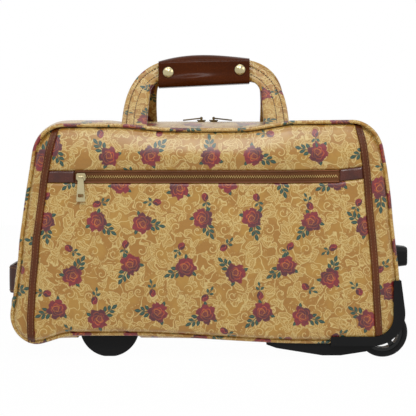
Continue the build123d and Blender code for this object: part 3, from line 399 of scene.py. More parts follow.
def lace_ground(tree, u, v):
    """Cream line work on gold; every scale is the size of a mesh in millimetres."""
    place = add(tree, "ShaderNodeCombineXYZ", {0: u.socket, 1: v.socket})
    bend = add(tree, "ShaderNodeTexNoise",
               {"Vector": place.outputs[0], "Scale": 1 / bend_size, "Detail": 1.0}, noise_dimensions="2D")
    bend_parts = add(tree, "ShaderNodeSeparateColor", {0: bend.outputs["Color"]})
    bend_x, bend_y = (Field(tree, socket) - 0.5 for socket in bend_parts.outputs[:2])
    bent_u, bent_v = u + bend_x * bend_reach, v + bend_y * bend_reach
    bent = add(tree, "ShaderNodeCombineXYZ", {0: bent_u.socket, 1: bent_v.socket})
    meshes = add(tree, "ShaderNodeTexVoronoi", {"Vector": bent.outputs[0], "Scale": 1 / mesh_size},
                 voronoi_dimensions="2D", feature="DISTANCE_TO_EDGE")
    lines = (Field(tree, meshes.outputs["Distance"]) * mesh_size).inside(thread_half, 0.5)

    covered = None
    for shift, seed, leaves in lace_sprays:
        x, y, _, _ = sprig_cells(tree, bent_u + shift[0], bent_v + shift[1], lace_cell, lace_wander, seed)
        for paired, *leaf_size in leaves:
            drawn, blade = lace_leaf(x, abs(y) if paired else y, *leaf_size)
            lines = (lines * (1 - blade)).math("MAXIMUM", drawn)
            covered = blade if covered is None else covered.math("MAXIMUM", blade)

    curl_u, curl_v = u + curl_shift[0], v + curl_shift[1]
    x, y, chance, _ = sprig_cells(tree, curl_u, curl_v, curl_cell, curl_wander, seed=2.3)
    radius, spin = distance(x, y), y.math("ARCTAN2", x)
    chosen = chance.math("GREATER_THAN", 0.3)
    spiral = abs(((spin - radius * 0.95) * 0.5).math("SINE")) * 3.4
    curls = spiral.inside(0.95, 0.6) * radius.inside(curl_radius, 0.6)
    bare = 1 - radius.inside(curl_clear, 0.5) * chosen
    lines = (lines * bare).math("MAXIMUM", curls * chosen)
    covered = covered * bare

    patches = add(tree, "ShaderNodeTexNoise",
                  {"Vector": place.outputs[0], "Scale": 1 / patch_size, "Detail": 1.5}, noise_dimensions="2D")
    full = Field(tree, patches.outputs[0])
    spots = add(tree, "ShaderNodeTexVoronoi", {"Vector": bent.outputs[0], "Scale": 1 / dot_pitch},
                voronoi_dimensions="2D", feature="F1")
    dots = (Field(tree, spots.outputs["Distance"]) * dot_pitch).inside(dot_radius, 0.5)
    dots = dots * (full.inside(0.54, 0.03) - full.inside(0.49, 0.03)) * (1 - covered)
    ground = painted(tree, deep_gold, gold, (covered * 0.8).math("MAXIMUM", full.inside(0.44, 0.2)))
    return painted(tree, ground, cream, lines.math("MAXIMUM", dots) * 0.9)


print("lace sprays", lace_cell, "mm apart")

# %% [markdown]
# The cloth itself is cotton canvas with a thin clear coat: the weave is a faint ripple, the coat gives
# the soft shine along the top. A second, glossy sheet over the cloth would do that too, but the shader
# has a coat of its own. Threads 0.9 mm apart are finer than a pixel of the picture, so the ripple is
# drawn at twice that.

# %% Coated canvas
thread_mm, slub_mm, weave_relief = 1.8, 4, 0.2


def printed_canvas():
    """Printed cotton canvas with a clear coat; the UV map is in millimetres on the cloth."""
    material, tree, output = new_material("coated_canvas_printed")
    uv = add(tree, "ShaderNodeUVMap", uv_map="cloth")
    parts = add(tree, "ShaderNodeSeparateXYZ", {0: uv.outputs[0]})
    u, v = (Field(tree, socket) for socket in parts.outputs[:2])
    colour = rose_print(tree, u, v, lace_ground(tree, u, v))
    weave = (u * (2 * np.pi / thread_mm)).math("SINE") * (v * (2 * np.pi / thread_mm)).math("SINE")
    slub = add(tree, "ShaderNodeTexNoise", {"Vector": uv.outputs[0], "Scale": 1 / slub_mm, "Detail": 3.0})
    uneven = Field(tree, slub.outputs[0])
    shade = weave * 0.045 + (uneven - 0.5) * 0.22 + 0.9
    tint = add(tree, "ShaderNodeMix", {"Factor": 1.0, 6: colour, 7: shade.socket},
               data_type="RGBA", blend_type="MULTIPLY")
    bump = add(tree, "ShaderNodeBump",
               {"Height": weave.socket, "Strength": 0.12, "Distance": weave_relief * MM})
    rough = uneven * 0.16 + 0.40
    surface = add(tree, "ShaderNodeBsdfPrincipled",
                  {"Base Color": tint.outputs[2], "Roughness": rough.socket, "Normal": bump.outputs[0],
                   "Specular IOR Level": 0.3, "Coat Weight": 0.85, "Coat Roughness": 0.33,
                   "Sheen Weight": 0.06, "Sheen Roughness": 0.5})
    tree.links.new(surface.outputs[0], output.inputs["Surface"])
    print("canvas nodes", len(tree.nodes))
    return material


# Coated canvas: the print is crisp, and a broad soft shine lies where the cloth leans back.
canvas = printed_canvas()

# %% [markdown]
# The other finishes are leather, metal, plastic and rubber. They share one recipe: a base colour that
# drifts over centimetres, a grain given by its size in millimetres, and a roughness that follows it. A
# flat colour would look like paint. Leather grain is a smooth Voronoi, moulded plastic and rubber are a
# fine matt spark, drawn metal is noise pulled out along one direction.

# %% Recipe for a finish
rough_spread = 0.12


def finish(name, colours, grain_mm, rough, bump_mm, stretch=(1, 1, 1), drift_mm=45, drift_stretch=(1, 1, 1),
           cells=False, metallic=0.0, specular=0.5, coat=0.0, coat_rough=0.03):
    """Principled surface: the colour drifts between two, the grain drives bump and roughness."""
    material, tree, output = new_material(name)
    light, dark = (linear(c) for c in colours)
    place = add(tree, "ShaderNodeTexCoord").outputs["Object"]
    mapped = add(tree, "ShaderNodeMapping", {"Vector": place, "Scale": stretch}).outputs[0]
    drawn = add(tree, "ShaderNodeMapping", {"Vector": place, "Scale": drift_stretch}).outputs[0]
    drift = add(tree, "ShaderNodeTexNoise", {"Vector": drawn, "Scale": 1 / (drift_mm * MM), "Detail": 3.0})
    wander = Field(tree, drift.outputs[0]) - 0.5
    if cells:
        grain = add(tree, "ShaderNodeTexVoronoi",
                    {"Vector": mapped, "Scale": 1 / (grain_mm * MM)}, feature="SMOOTH_F1")
        height = Field(tree, grain.outputs["Distance"])
    else:
        grain = add(tree, "ShaderNodeTexNoise",
                    {"Vector": mapped, "Scale": 1 / (grain_mm * MM), "Detail": 4.0})
        height = Field(tree, grain.outputs[0])
    pits = height - 0.5
    shade = painted(tree, dark, light, (wander * 1.6 + pits * 0.5 + 0.5).limited())
    gloss = pits * rough_spread + wander * rough_spread + rough
    bump = add(tree, "ShaderNodeBump", {"Height": height.socket, "Strength": 0.6, "Distance": bump_mm * MM})
    surface = add(tree, "ShaderNodeBsdfPrincipled",
                  {"Base Color": shade, "Roughness": gloss.socket, "Normal": bump.outputs[0],
                   "Metallic": metallic, "Specular IOR Level": specular, "Coat Weight": coat,
                   "Coat Roughness": coat_rough})
    tree.links.new(surface.outputs[0], output.inputs["Surface"])
    print(name, "grain", grain_mm, "mm")
    return material


# %% [markdown]
# Each piece of leather on the bag was cut from another hide or glazed in another way. They could share
# one brown, but then strips, tabs and wrap would run into each other.

# %% Leather, tape and thread
# Polished strips: warm brown, a fine pebble and a soft shine on the turned edges.
leather = finish("vegetable_tanned_leather_polished", ("#6c3613", "#4a2209"), grain_mm=1.6, rough=0.38,
                 bump_mm=0.08, cells=True, specular=0.2, coat=0.1, coat_rough=0.2)
# Glazed zip tabs: nearly black brown under a clear, lively shine.
dark_leather = finish("glazed_leather_dark", ("#5a2410", "#3a1207"), grain_mm=1.8, rough=0.26, bump_mm=0.04,
                      drift_mm=18, cells=True, specular=0.2, coat=0.5, coat_rough=0.16)
# Glazed wrap: chestnut that drifts in long streaks along the hand's grip.
wrap_leather = finish("glazed_leather_chestnut", ("#5a2808", "#341302"), grain_mm=1.8, rough=0.26,
                      bump_mm=0.03, drift_mm=30, drift_stretch=(0.3, 1, 1.6), cells=True,
                      specular=0.04, coat=0.07, coat_rough=0.22)
# Zip bindings: the lightest hide, so the zip's two edges show as lines.
binding_leather = finish("vegetable_tanned_leather_light", ("#85502e", "#663a1f"), grain_mm=1.6, rough=0.36,
                         bump_mm=0.06, cells=True, specular=0.2, coat=0.1, coat_rough=0.2)
# Grab strap: dark and handled, with little shine.
grab_leather = finish("vegetable_tanned_leather_dark", ("#4a200e", "#301206"), grain_mm=1.6, rough=0.34,
                      bump_mm=0.06, cells=True, specular=0.16, coat=0.08, coat_rough=0.2)
# Woven tape: matt brown.
tape_cloth = finish("polyester_tape_woven", ("#74492a", "#58361c"), grain_mm=0.9, rough=0.7, bump_mm=0.1,
                    specular=0.2)
# Bonded thread: smooth, one dark for the straps and one tan for the leather.
thread_dark = finish("bonded_thread_brown", ("#3a2015", "#2a150d"), grain_mm=0.4, rough=0.55, bump_mm=0.05)
thread_tan = finish("bonded_thread_tan", ("#8d6238", "#6f4a28"), grain_mm=0.4, rough=0.55, bump_mm=0.05)

# %% [markdown]
# Metal, plastic and rubber are told apart by their shine: metals tint what they mirror, plastics give a
# white one, and rubber has almost none. One black for all dark parts would hide where tyre, rim and
# housing meet.

# %% Metal, plastic and rubber
# Plated teeth: old gold with soft highlights.
brass = finish("antique_brass_plated", ("#d2b678", "#957c4a"), grain_mm=1.2, rough=0.3, bump_mm=0.02,
               metallic=1.0)
# Polished caps, slider and pull: pale gold with a clear highlight.
pale_brass = finish("light_brass_polished", ("#c9bd98", "#a1946c"), grain_mm=1.4, rough=0.22, bump_mm=0.01,
                    metallic=1.0)
# Burnished top sliders: dark, they mirror little.
dark_brass = finish("burnished_brass_dark", ("#6f5c3a", "#4a3c26"), grain_mm=1.2, rough=0.34, bump_mm=0.02,
                    metallic=1.0)
# Moulded polypropylene: black with a fine spark, matt.
black_plastic = finish("polypropylene_moulded_black", ("#0f0f10", "#080809"), grain_mm=0.5, rough=0.42,
                       bump_mm=0.03, drift_mm=80, specular=0.16)
# Polished ABS: black with a white shine.
gloss_plastic = finish("abs_polished_black", ("#141415", "#0c0c0d"), grain_mm=0.6, rough=0.26, bump_mm=0.01,
                       drift_mm=80, specular=0.3)
# Moulded ABS: grey, so the thumb finds the button.
button_plastic = finish("abs_moulded_grey", ("#4a4c50", "#3c3e42"), grain_mm=0.5, rough=0.4, bump_mm=0.02)
# Rubber tread: dull black.
rubber = finish("tpu_rubber_tread_black", ("#121213", "#0a0a0b"), grain_mm=0.7, rough=0.6, bump_mm=0.05,
                specular=0.2)
# Drawn tube, anodised: silver with fine lines along it.
aluminium = finish("anodised_aluminium_drawn", ("#b9bbbe", "#a2a4a8"), grain_mm=0.6, rough=0.3, bump_mm=0.01,
                   stretch=(0.03, 1, 1), metallic=1.0)
# Zinc plate: a cool, slightly cloudy silver.
steel = finish("zinc_plated_steel", ("#b4b6b8", "#8f9294"), grain_mm=0.8, rough=0.34, bump_mm=0.01,
               metallic=1.0)
# Polyethylene sheet: dull dark grey.
board_sheet = finish("polyethylene_sheet_grey", ("#3d3a36", "#2e2c29"), grain_mm=1.0, rough=0.6, bump_mm=0.03)

# %% [markdown]
# The hard parts are finished shapes already. They could be drawn again as surfaces, but a second shape can
# drift from the one that moves, so they stay as they came, each with the finish of what it is made of.
# The end of a part's name tells which one.

# %% Finish the hard parts
hard_finishes = {
    black_plastic: ("stand_foot", "wheel_housing", "stand_peg", "handle_bezel", "tube_bracket",
                    "tube_saddle", "glides"),
    gloss_plastic: ("rim", "handle_grip"),
    button_plastic: ("release_button",),
    rubber: ("tyre",),
    aluminium: ("inner_tubes", "mid_tubes", "outer_tubes", "release_rods"),
    steel: ("bearings", "axle_bolt", "screws"),
    pale_brass: ("snap_caps", "pocket_slider", "pocket_pull", "grab_rivets"),
    dark_brass: ("top_slider", "top_pull"),
    board_sheet: ("base_board",)}
for material, endings in hard_finishes.items():
    made_of_it = [node for name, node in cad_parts.items() if name.endswith(endings)]
    for node in made_of_it:
        node.data.materials.clear()
        node.data.materials.append(material)
    print(material.name, len(made_of_it), "parts")

# %% [markdown]
# Each soft piece is a grid of points. One function turns the grid into a mesh, closes it where it runs
# round, leaves cells out where there is a hole, and writes the cloth's own millimetres as a UV map. Small
# shapes that repeat, such as teeth and stitches, are set down many times in one mesh; an Array modifier
# could do that too, but every tooth here turns with its path.


# %% From points to a piece
def mesh_piece(name, vertices, faces, material, replaced, uv=None):
    """A smooth mesh from points in mm, tied to the bag and the solids it stands for."""
    mesh = bpy.data.meshes.new(name)
    mesh.from_pydata((vertices * MM).tolist(), [], faces)
    if uv is not None:
        layer = mesh.uv_layers.new(name="cloth")
        layer.uv.foreach_set("vector", uv.astype(np.float32).ravel())
    mesh.polygons.foreach_set("use_smooth", np.ones(len(mesh.polygons), bool))
    mesh.materials.append(material)
    mesh.update()
    piece = bpy.data.objects.new(name, mesh)
    bpy.context.scene.collection.objects.link(piece)
    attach(piece, "bag")
    if replaced:
        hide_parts(*replaced)
    print(name, len(mesh.polygons), "faces")
    return piece


def grid_piece(name, points, material, replaced=(), uv=None, closed=False, looped=False,
               capped=False, keep=None, inside_out=False):
    """Mesh over points[row, column] in mm; closed joins the last column to the first, looped the last row
    to the first, capped shuts the ends, keep says which cells there are."""
    rows, columns = points.shape[:2]
    row, column = np.meshgrid(np.arange(rows if looped else rows - 1),
                              np.arange(columns if closed else columns - 1), indexing="ij")
    corners = np.stack([np.stack([row, row, row + 1, row + 1], -1),
                        np.stack([column, column + 1, column + 1, column], -1)], -1)
    if keep is not None:
        corners = corners[keep]
    corners = corners.reshape(-1, 4, 2)
    if inside_out:
        corners = corners[:, ::-1]
    faces = corners[..., 0] % rows * columns + corners[..., 1] % columns
    used, faces = np.unique(faces, return_inverse=True)
    faces = faces.reshape(-1, 4).tolist()
    loops = corners.reshape(-1, 2)
    if capped:
        ring = np.arange(columns)
        for end, order in ((0, ring[::-1]), (rows - 1, ring)):
            order = order[::-1] if inside_out else order
            faces.append((end * columns + order).tolist())
            loops = np.concatenate([loops, np.stack([np.full(columns, end), order], -1)])
    spread = None if uv is None else uv[loops[:, 0], loops[:, 1]]
    return mesh_piece(name, points.reshape(-1, 3)[used], faces, material, replaced, spread)


def repeated_piece(name, shape, shape_faces, origins, axes, material, slot, replaced=()):
    """One small shape set down many times: shape (k, 3) along axes (n, 3, 3) at origins (n, 3), in mm."""
    points = origins[:, None] + np.einsum("kj,njc->nkc", shape, axes)
    faces = np.asarray(shape_faces)[None] + (np.arange(len(origins)) * len(shape))[:, None, None]
    faces = faces.reshape(-1, faces.shape[-1]).tolist()
    return mesh_piece(name, points.reshape(-1, 3), faces, material, replaced)


def thicken(piece, thickness):
    """Give a sheet its thickness in mm, inwards from the face that shows."""
    wall = piece.modifiers.new("thickness", "SOLIDIFY")
    wall.thickness, wall.offset = thickness * MM, -1.0


print("pieces ride on the bag")

# %% [markdown]
# The shapes below are put together from a few plain curves: a soft step, a table read off between its
# points, a sine pressed square, and a path walked in equal steps. Curve objects could hold the same
# paths, but arrays let one formula move all points at once.


# %% Curves and paths
def unit(vectors):
    """Vectors at length 1."""
    return vectors / np.linalg.norm(vectors, axis=-1, keepdims=True)


def distance_along(path):
    """Distance along a path to each of its points."""
    return np.concatenate([[0], np.cumsum(np.linalg.norm(np.diff(path, axis=0), axis=1))])


def spaced(path, count):
    """A path drawn again in a number of equal steps."""
    run = distance_along(path)
    places = np.linspace(0, run[-1], count + 1)
    return np.stack([np.interp(places, run, column) for column in path.T], -1)


def smooth_step(value, low, high):
    """0 below low, 1 above high, with a soft rise t^2 (3 - 2t) between."""
    t = np.clip((value - low) / (high - low), 0, 1)
    return t * t * (3 - 2 * t)


def fade(value, low, high):
    """1 below low, 0 above high."""
    return 1 - smooth_step(value, low, high)


def hump(value, half):
    """A parabola, 1 in the middle and 0 from half outwards."""
    return np.clip(1 - (value / half) ** 2, 0, 1)


def read_off(table, value):
    """A value read off a table of pairs, straight between them."""
    return np.interp(value, *np.array(table).T)


def pressed(wave, power):
    """A sine or cosine pressed square: its sign times |wave|^power."""
    return np.sign(wave) * np.abs(wave) ** power


def turn_steps(count):
    """Angles of a full turn in equal steps."""
    return np.linspace(0, 2 * np.pi, count, endpoint=False)


def out_of_bag(ahead):
    """Direction out of the bag beside a path that runs round it in x and z."""
    return np.stack([ahead[:, 2], 0 * ahead[:, 0], -ahead[:, 0]], -1)


print("half a soft step is", smooth_step(0.5, 0, 1))

# %% [markdown]
# The soft body is a loft: the rounded outline of the front seam swells to a longer, taller outline at
# mid depth. A box with bevelled edges would have the same corners all through; here each outline is worked
# out from four corner points and their radii, with the same number of steps on each stretch, so that seam
# and crown match point for point.

# %% Body outlines
base_half, top_half, crown_half = 275.0, 235.0, 250.0
base_z, seam_z, crown_z = 24.0, 320.0, 331.0
corner_round, crown_round = 40.0, 46.0
half_base_steps, side_steps, top_steps, arc_steps = 55, 96, 100, 26


def corner_points(top_x, top_z):
    """The four corners of the body's outline in x, z, from the lower right round."""
    return np.array([(base_half, base_z), (top_x, top_z), (-top_x, top_z), (-base_half, base_z)])


def outline(top_x, top_z, top_round):
    """Closed outline (n, 2) in x, z from the middle of the base round to the right; corners are arcs."""
    corners = corner_points(top_x, top_z)
    back, ahead = unit(np.roll(corners, 1, 0) - corners), unit(np.roll(corners, -1, 0) - corners)
    half_angle = np.arccos((back * ahead).sum(1)) / 2
    radii = np.array([corner_round, top_round, top_round, corner_round])
    centres = corners + unit(back + ahead) * (radii / np.sin(half_angle))[:, None]
    begin, sweep = np.arctan2(back[:, 0], -back[:, 1]), np.pi - 2 * half_angle
    angles = begin[:, None] + sweep[:, None] * np.linspace(0, 1, arc_steps)
    arcs = centres[:, None] + radii[:, None, None] * np.stack([np.cos(angles), np.sin(angles)], -1)
    middle = (arcs[3, -1] + arcs[0, 0]) / 2
    starts, stops = [middle, *arcs[:, -1]], [*arcs[:, 0], middle]
    steps = (half_base_steps, side_steps, top_steps, side_steps, half_base_steps)
    lines = [a + (b - a) * np.linspace(0, 1, n + 1)[:, None] for a, b, n in zip(starts, stops, steps)]
    pieces = [part[:-1] for pair in zip(lines, arcs) for part in pair]
    return np.concatenate([*pieces, lines[-1]])


seam = outline(top_half, seam_z, corner_round)
crown = outline(crown_half, crown_z, crown_round)
seam_run = distance_along(seam)
print("seam length", round(seam_run[-1]), "mm in", len(seam), "points")

# %% [markdown]
# A filled bag is never as straight as its pattern. Its sag could come from a cloth simulation, but the
# seams hold this shell nearly in place, so its few slow moves are written down: the base's edges bow up
# over the feet, the top dips between the handles' roots, the ends bulge, the top seams ride up at both
# shoulders. The shell, its welts and every piece of the front pocket go through the same function, so
# they stay together.

# %% Slack of the soft body
gusset_half = 107.2
base_bow, base_lift, top_sag, shoulder, corner_drop = 11.0, 2.4, 2.0, 3.5, 2.2
foot_x, foot_half_chord, foot_low_y, foot_lift, foot_slope_x, foot_slope_y = -138.0, 40.4, 60.5, 5.4, 4, 3.5
# Each pair is a stretch in mm over which a move comes or goes.
base_heights, top_heights, seam_edge = (40, 75), (270, 318), (93, gusset_half)
bow_left, bow_right, lift_depths, drop_left = (-245, -185), (-120, 150), (35, 56), (-235, -185)
dip_half, dip_depths = 110, (30, 95)
shoulder_inner, shoulder_outer = (105, 150), (195, 240)
shoulder_depths, shoulder_zip = (60, 100), (10, 32)
bulge_lengths, bulge_depths = (130, 250), (66, gusset_half)
haul_zip, haul_seam, haul_depths = (185, 250), (264, 316), (68, gusset_half)
# How far the ends bulge at a height, and how far seam and pocket zip ride up along the length.
end_bulge = {-1: ((24, 3.5), (57, 3.1), (75, 1.7), (100, 1.2), (139, 1.2), (165, 2.6), (230, 2.2),
                  (310, 0)),
             1: ((85, 0), (130, 1.6), (190, 2.4), (221, 3.4), (260, 3.0), (310, 0))}
seam_haul = ((-240, 3.2), (-205, 4.4), (-125, 4.4), (-60, 0), (55, 0), (115, 8.4), (205, 9.4),
             (232, 8.6), (246, 6.0))
zip_haul = ((110, 0), (179, 1.0), (186, 2.4), (215, 6.2), (246, 5.0))


def slack(points):
    """Points moved by the sag of the body: each move is its size times soft steps in x, y and z."""
    x, y, z = np.moveaxis(points, -1, 0)
    length, depth = np.abs(x), np.abs(y)
    edge = smooth_step(depth, *seam_edge)
    long_bow = smooth_step(x, *bow_left) * fade(x, *bow_right)
    over_foot = fade(np.abs(x - foot_x), foot_half_chord, foot_half_chord + foot_slope_x)
    over_foot = over_foot * smooth_step(depth, foot_low_y, foot_low_y + foot_slope_y)
    lift = base_lift * long_bow * smooth_step(depth, *lift_depths) + (foot_lift - base_lift) * over_foot
    drop = corner_drop * fade(x, *drop_left) * edge
    rise = (lift * (1 - edge) + base_bow * long_bow * edge - drop) * fade(z, *base_heights)
    high = smooth_step(z, *top_heights)
    dip = top_sag * hump(x, dip_half) * high * smooth_step(depth, *dip_depths)
    full = shoulder * smooth_step(length, *shoulder_inner) * fade(length, *shoulder_outer) * high
    full = full * fade(depth, *shoulder_depths) * smooth_step(depth, *shoulder_zip)
    bulge = np.where(x > 0, read_off(end_bulge[1], z), -read_off(end_bulge[-1], z))
    bulge = bulge * smooth_step(length, *bulge_lengths) * smooth_step(depth, *bulge_depths)
    at_seam, at_zip = read_off(seam_haul, x), read_off(zip_haul, x)
    haul = at_zip * smooth_step(z, *haul_zip) + (at_seam - at_zip) * smooth_step(z, *haul_seam)
    upward = rise - dip + full + haul * smooth_step(depth, *haul_depths)
    return points + np.stack([bulge, 0 * x, upward], -1)


print("the base bows up by", base_bow, "mm")

# %% [markdown]
# The gusset is the wall that runs all round between the two seams. The cup of the pull handle, the wheel
# wells and the main zip leave holes in it; those cells are left out, where Boolean cuts would leave
# ragged faces. A thickness turned inwards gives the cut edges of the cloth.

# %% Gusset
cloth_thickness, zip_gap, zip_end_z = 2.0, 16.0, 200.0
ripple_deep, ripple_fine = 0.7, 0.5
ripple_heights, ripple_seam, ripple_zip = (230, 320), 25, (18, 40)
wheel_x, wheel_z, well_radius, well_low_y, well_high_y = 246.0, 35.0, 42.2, 73.5, 104.5
cup_x, cup_half_y, cup_low_z, cup_high_z = -200, 71.3, 42.7, 77.3
gusset_print_shift = 400

depths = np.concatenate([np.linspace(-gusset_half, -zip_gap, 31), np.linspace(-zip_gap, zip_gap, 11)[1:-1],
                         np.linspace(zip_gap, gusset_half, 31)])
swell = (1 - (depths / gusset_half) ** 2)[:, None]
wall_xz = seam[:, None] * (1 - swell) + crown[:, None] * swell
x, y, z = np.broadcast_arrays(wall_xz[..., 0], depths, wall_xz[..., 1])
depth = np.abs(y)
ripple = ripple_deep * np.sin(x / 31 + y / 43) * np.sin(y / 27 + 1.3) + ripple_fine * np.sin(x / 17 - y / 23)
top_only = smooth_step(z, *ripple_heights) * smooth_step(gusset_half - depth, 0, ripple_seam)
wall = slack(np.stack([x, y, z - np.abs(ripple) * top_only * smooth_step(depth, *ripple_zip)], -1))
well = (np.hypot(x - wheel_x, z - wheel_z) < well_radius) & (depth > well_low_y) & (depth < well_high_y)
cup = (x < cup_x) & (depth < cup_half_y) & (z > cup_low_z) & (z < cup_high_z)
hole = well | cup
hole = hole[:-1, :-1] | hole[1:, :-1] | hole[:-1, 1:] | hole[1:, 1:]
middle_y = (depths[:-1] + depths[1:]) / 2
slit = (np.abs(middle_y)[None] < zip_gap) & ((z[:-1, :-1] + z[1:, :-1]) / 2 > zip_end_z)
on_cloth = np.stack(np.broadcast_arrays(seam_run[:, None], y + gusset_print_shift), -1)
gusset = grid_piece("gusset_cloth", wall, canvas,
                    ("base_panel", "left_end_panel", "right_end_panel", "top_panel_front",
                     "top_panel_rear"),
                    uv=on_cloth, keep=~(hole | slit))
thicken(gusset, cloth_thickness)

# %% [markdown]
# Front and back are flat panels sewn in with a welt. Their edge rolls over into the seam, and the
# stuffing makes them a little full. A subdivided plane could be pushed about by hand; here the distance to
# the rounded outline drives the roll. The outline is an inner polygon grown by the corner radius, so that
# distance is the radius less the polygon's.

# %% Depth of a panel's face
panel_back, panel_face = 109.4, 119.0
panel_inset, seam_groove, roll_length = 0.5, 2.4, 2.7
front_puff, rear_puff, crest_puff, lean_back = 4.2, 6.5, 3.6, 5.5
full_low, full_high, full_half = (20, 120), (170, 232), 262
crest_low, crest_high, crest_half, lean_heights = (263, 280), (280, 324), 240, (280, 322)


def edge_distance(x, z):
    """Distance inwards from the seam outline at a point of the panel, mm."""
    corners = corner_points(top_half, seam_z)
    along = unit(np.roll(corners, -1, 0) - corners)
    inward = np.stack([-along[:, 1], along[:, 0]], -1)
    gaps = (x[..., None] - corners[:, 0]) * inward[:, 0] + (z[..., None] - corners[:, 1]) * inward[:, 1]
    gaps = np.sort(np.maximum(corner_round - gaps, 0), -1)
    return corner_round - np.hypot(gaps[..., -1], gaps[..., -2])


def panel_depth(x, z, puff):
    """How far the face stands from mid depth: the seam, the roll 1 - exp(-inset / length), the fullness."""
    inset = np.clip(edge_distance(x, z) - seam_groove, 0, None)
    roll = (panel_face - panel_back) * (1 - np.exp(-inset / roll_length))
    full = smooth_step(z, *full_low) * fade(z, *full_high) * hump(x, full_half)
    crest = smooth_step(z, *crest_low) * fade(z, *crest_high) * np.clip(1 - (x / crest_half) ** 4, 0, 1)
    return panel_back + roll + puff * full + crest_puff * crest - lean_back * smooth_step(z, *lean_heights)


print("front stands", panel_face + front_puff, "mm from the middle")

# %% [markdown]
# A panel's grid has one row for each height, as wide as the outline is there. Rows and columns crowd
# towards the rim, where the edge rolls; an even grid fine enough for the roll would be many times as big.

# %% Front and rear panels
corner_rows, side_rows, panel_columns, crowding = 22, 74, 141, 0.97
panel_print_shift = {-1: (2100, 55), 1: (3900, 55)}


def half_width(z):
    """Half length of the seam outline at a height, rounded corners and inset included."""
    slope = (top_half - base_half) / (seam_z - base_z)
    straight = base_half + slope * (z - base_z)
    lean = np.hypot(1, slope)
    low_centre = base_half + slope * corner_round - corner_round * lean
    high_centre = top_half - slope * corner_round - corner_round * lean
    low = low_centre + np.sqrt(np.clip(corner_round**2 - (base_z + corner_round - z) ** 2, 0, None))
    high = high_centre + np.sqrt(np.clip(corner_round**2 - (z - seam_z + corner_round) ** 2, 0, None))
    low_end = base_z + corner_round * (1 + slope / lean)
    high_end = seam_z - corner_round * (1 - slope / lean)
    return np.where(z < low_end, low, np.where(z > high_end, high, straight)) - panel_inset


steps = (1 - np.cos(np.linspace(0, np.pi / 2, corner_rows))) * corner_round
straight_heights = np.linspace(base_z + corner_round, seam_z - corner_round, side_rows)[1:-1]
heights = np.concatenate([base_z + panel_inset + steps, straight_heights,
                          seam_z - panel_inset - steps[::-1]])
quarter = np.pi / 2 * crowding
fractions = np.sin(np.linspace(-quarter, quarter, panel_columns)) / np.sin(quarter)
z = np.broadcast_to(heights[:, None], (len(heights), len(fractions)))
x = half_width(z) * fractions
for side, place, puff in ((-1, "front", front_puff), (1, "rear", rear_puff)):
    points = slack(np.stack([x, side * panel_depth(x, z, puff), z], -1))
    on_cloth = np.stack([-side * x, z], -1) + panel_print_shift[side]
    grid_piece(f"{place}_panel_cloth", points, canvas, (f"{place}_panel",),
               uv=on_cloth, inside_out=side > 0)

# %% [markdown]
# The welt between panel and gusset is a cord wrapped in the same cloth. A curve with a round bevel would
# make it too; a tube carried round the seam's own points keeps it exactly on the seam.

# %% Welt piping
piping_radius, piping_y, piping_stand, piping_sides = 2.7, 110.0, 0.6, 12
welt_print_shift = {-1: (-300, 70), 1: (300, 70)}


def out_beside(path):
    """Direction out of the bag at each point of a closed path."""
    return out_of_bag(unit(np.roll(path, -1, 0) - np.roll(path, 1, 0)))


def tube_round_outline(path):
    """A round tube about a closed path (n, 3): radius times (out * cos + y * sin) at each point."""
    angles = turn_steps(piping_sides)[:, None]
    spokes = out_beside(path)[:, None] * np.cos(angles) + np.array([0, 1, 0]) * np.sin(angles)
    return path[:, None] + piping_radius * spokes


for side, place in ((-1, "front"), (1, "rear")):
    path = slack(np.stack([seam[:-1, 0], np.full(len(seam) - 1, side * piping_y), seam[:-1, 1]], -1))
    path = path + piping_stand * out_beside(path)
    around = np.linspace(0, 2 * np.pi * piping_radius, piping_sides + 1)
    on_cloth = np.stack(np.broadcast_arrays(seam_run[:, None], around), -1) + welt_print_shift[side]
    grid_piece(f"{place}_welt", tube_round_outline(path), canvas, (f"{place}_piping",),
               uv=on_cloth, closed=True, looped=True)

# %% [markdown]
# The front pocket is two more sheets laid over the front panel, with a zip between them. They could be
# painted on, but their edges catch the light. Each sheet's rim turns under, so its face falls back to the
# panel within a couple of millimetres of the rim.

# %% Front pocket sheets
strip_width, strip_height, strip_top, pocket_height = 10.2, 4.0, 319.0, 2.6
# Where the strips' middle lines run: height, and distance from the middle of the bag.
strip_lines = {-1: ((24.5, 241.8), (73.0, 242.8), (105.0, 241.4), (139.0, 237.8), (170.0, 234.0),
                    (225.0, 226.8), (254.0, 224.0), (291.0, 217.6), (strip_top, 209.5)),
               1: ((24.5, 238.6), (62.0, 236.4), (106.0, 232.8), (128.0, 230.6), (172.0, 226.1),
                   (216.0, 220.4), (254.0, 217.4), (291.0, 214.0), (strip_top, 208.4))}
zip_z, zip_band, zip_left, zip_right = 253.8, 17.0, -182.5, 181.0
zip_low, zip_high = zip_z - zip_band / 2, zip_z + zip_band / 2
sheet_gap, sheet_lift, rim_length, tuck = 0.2, 0.05, 1.3, 1.2
pocket_low, pocket_top, pocket_columns = base_z + 1, 318.0, 150


def rounded_steps(count):
    """0 to 1, crowded towards both ends: half of 1 - cos."""
    return (1 - np.cos(np.linspace(0, np.pi, count))) / 2


def sheet_on_front(low_z, high_z, left, right, height, rows, columns):
    """Sheet over the front panel: it stands height * (1 - exp(-distance to its rim / rim length)) proud."""
    z = (low_z + (high_z - low_z) * rounded_steps(rows))[:, None] + np.zeros((1, columns))
    left_x, right_x = left(z), right(z)
    x = left_x + (right_x - left_x) * rounded_steps(columns)
    rim = np.minimum(np.minimum(x - left_x, right_x - x), np.minimum(z - low_z, high_z - z))
    proud = height * (1 - np.exp(-rim / rim_length)) + sheet_lift
    return slack(np.stack([x, -panel_depth(x, z, front_puff) - proud, z], -1))


def pocket_left(z):
    """Left edge of the pocket, tucked under the left strip."""
    return strip_width / 2 - tuck - read_off(strip_lines[-1], z)


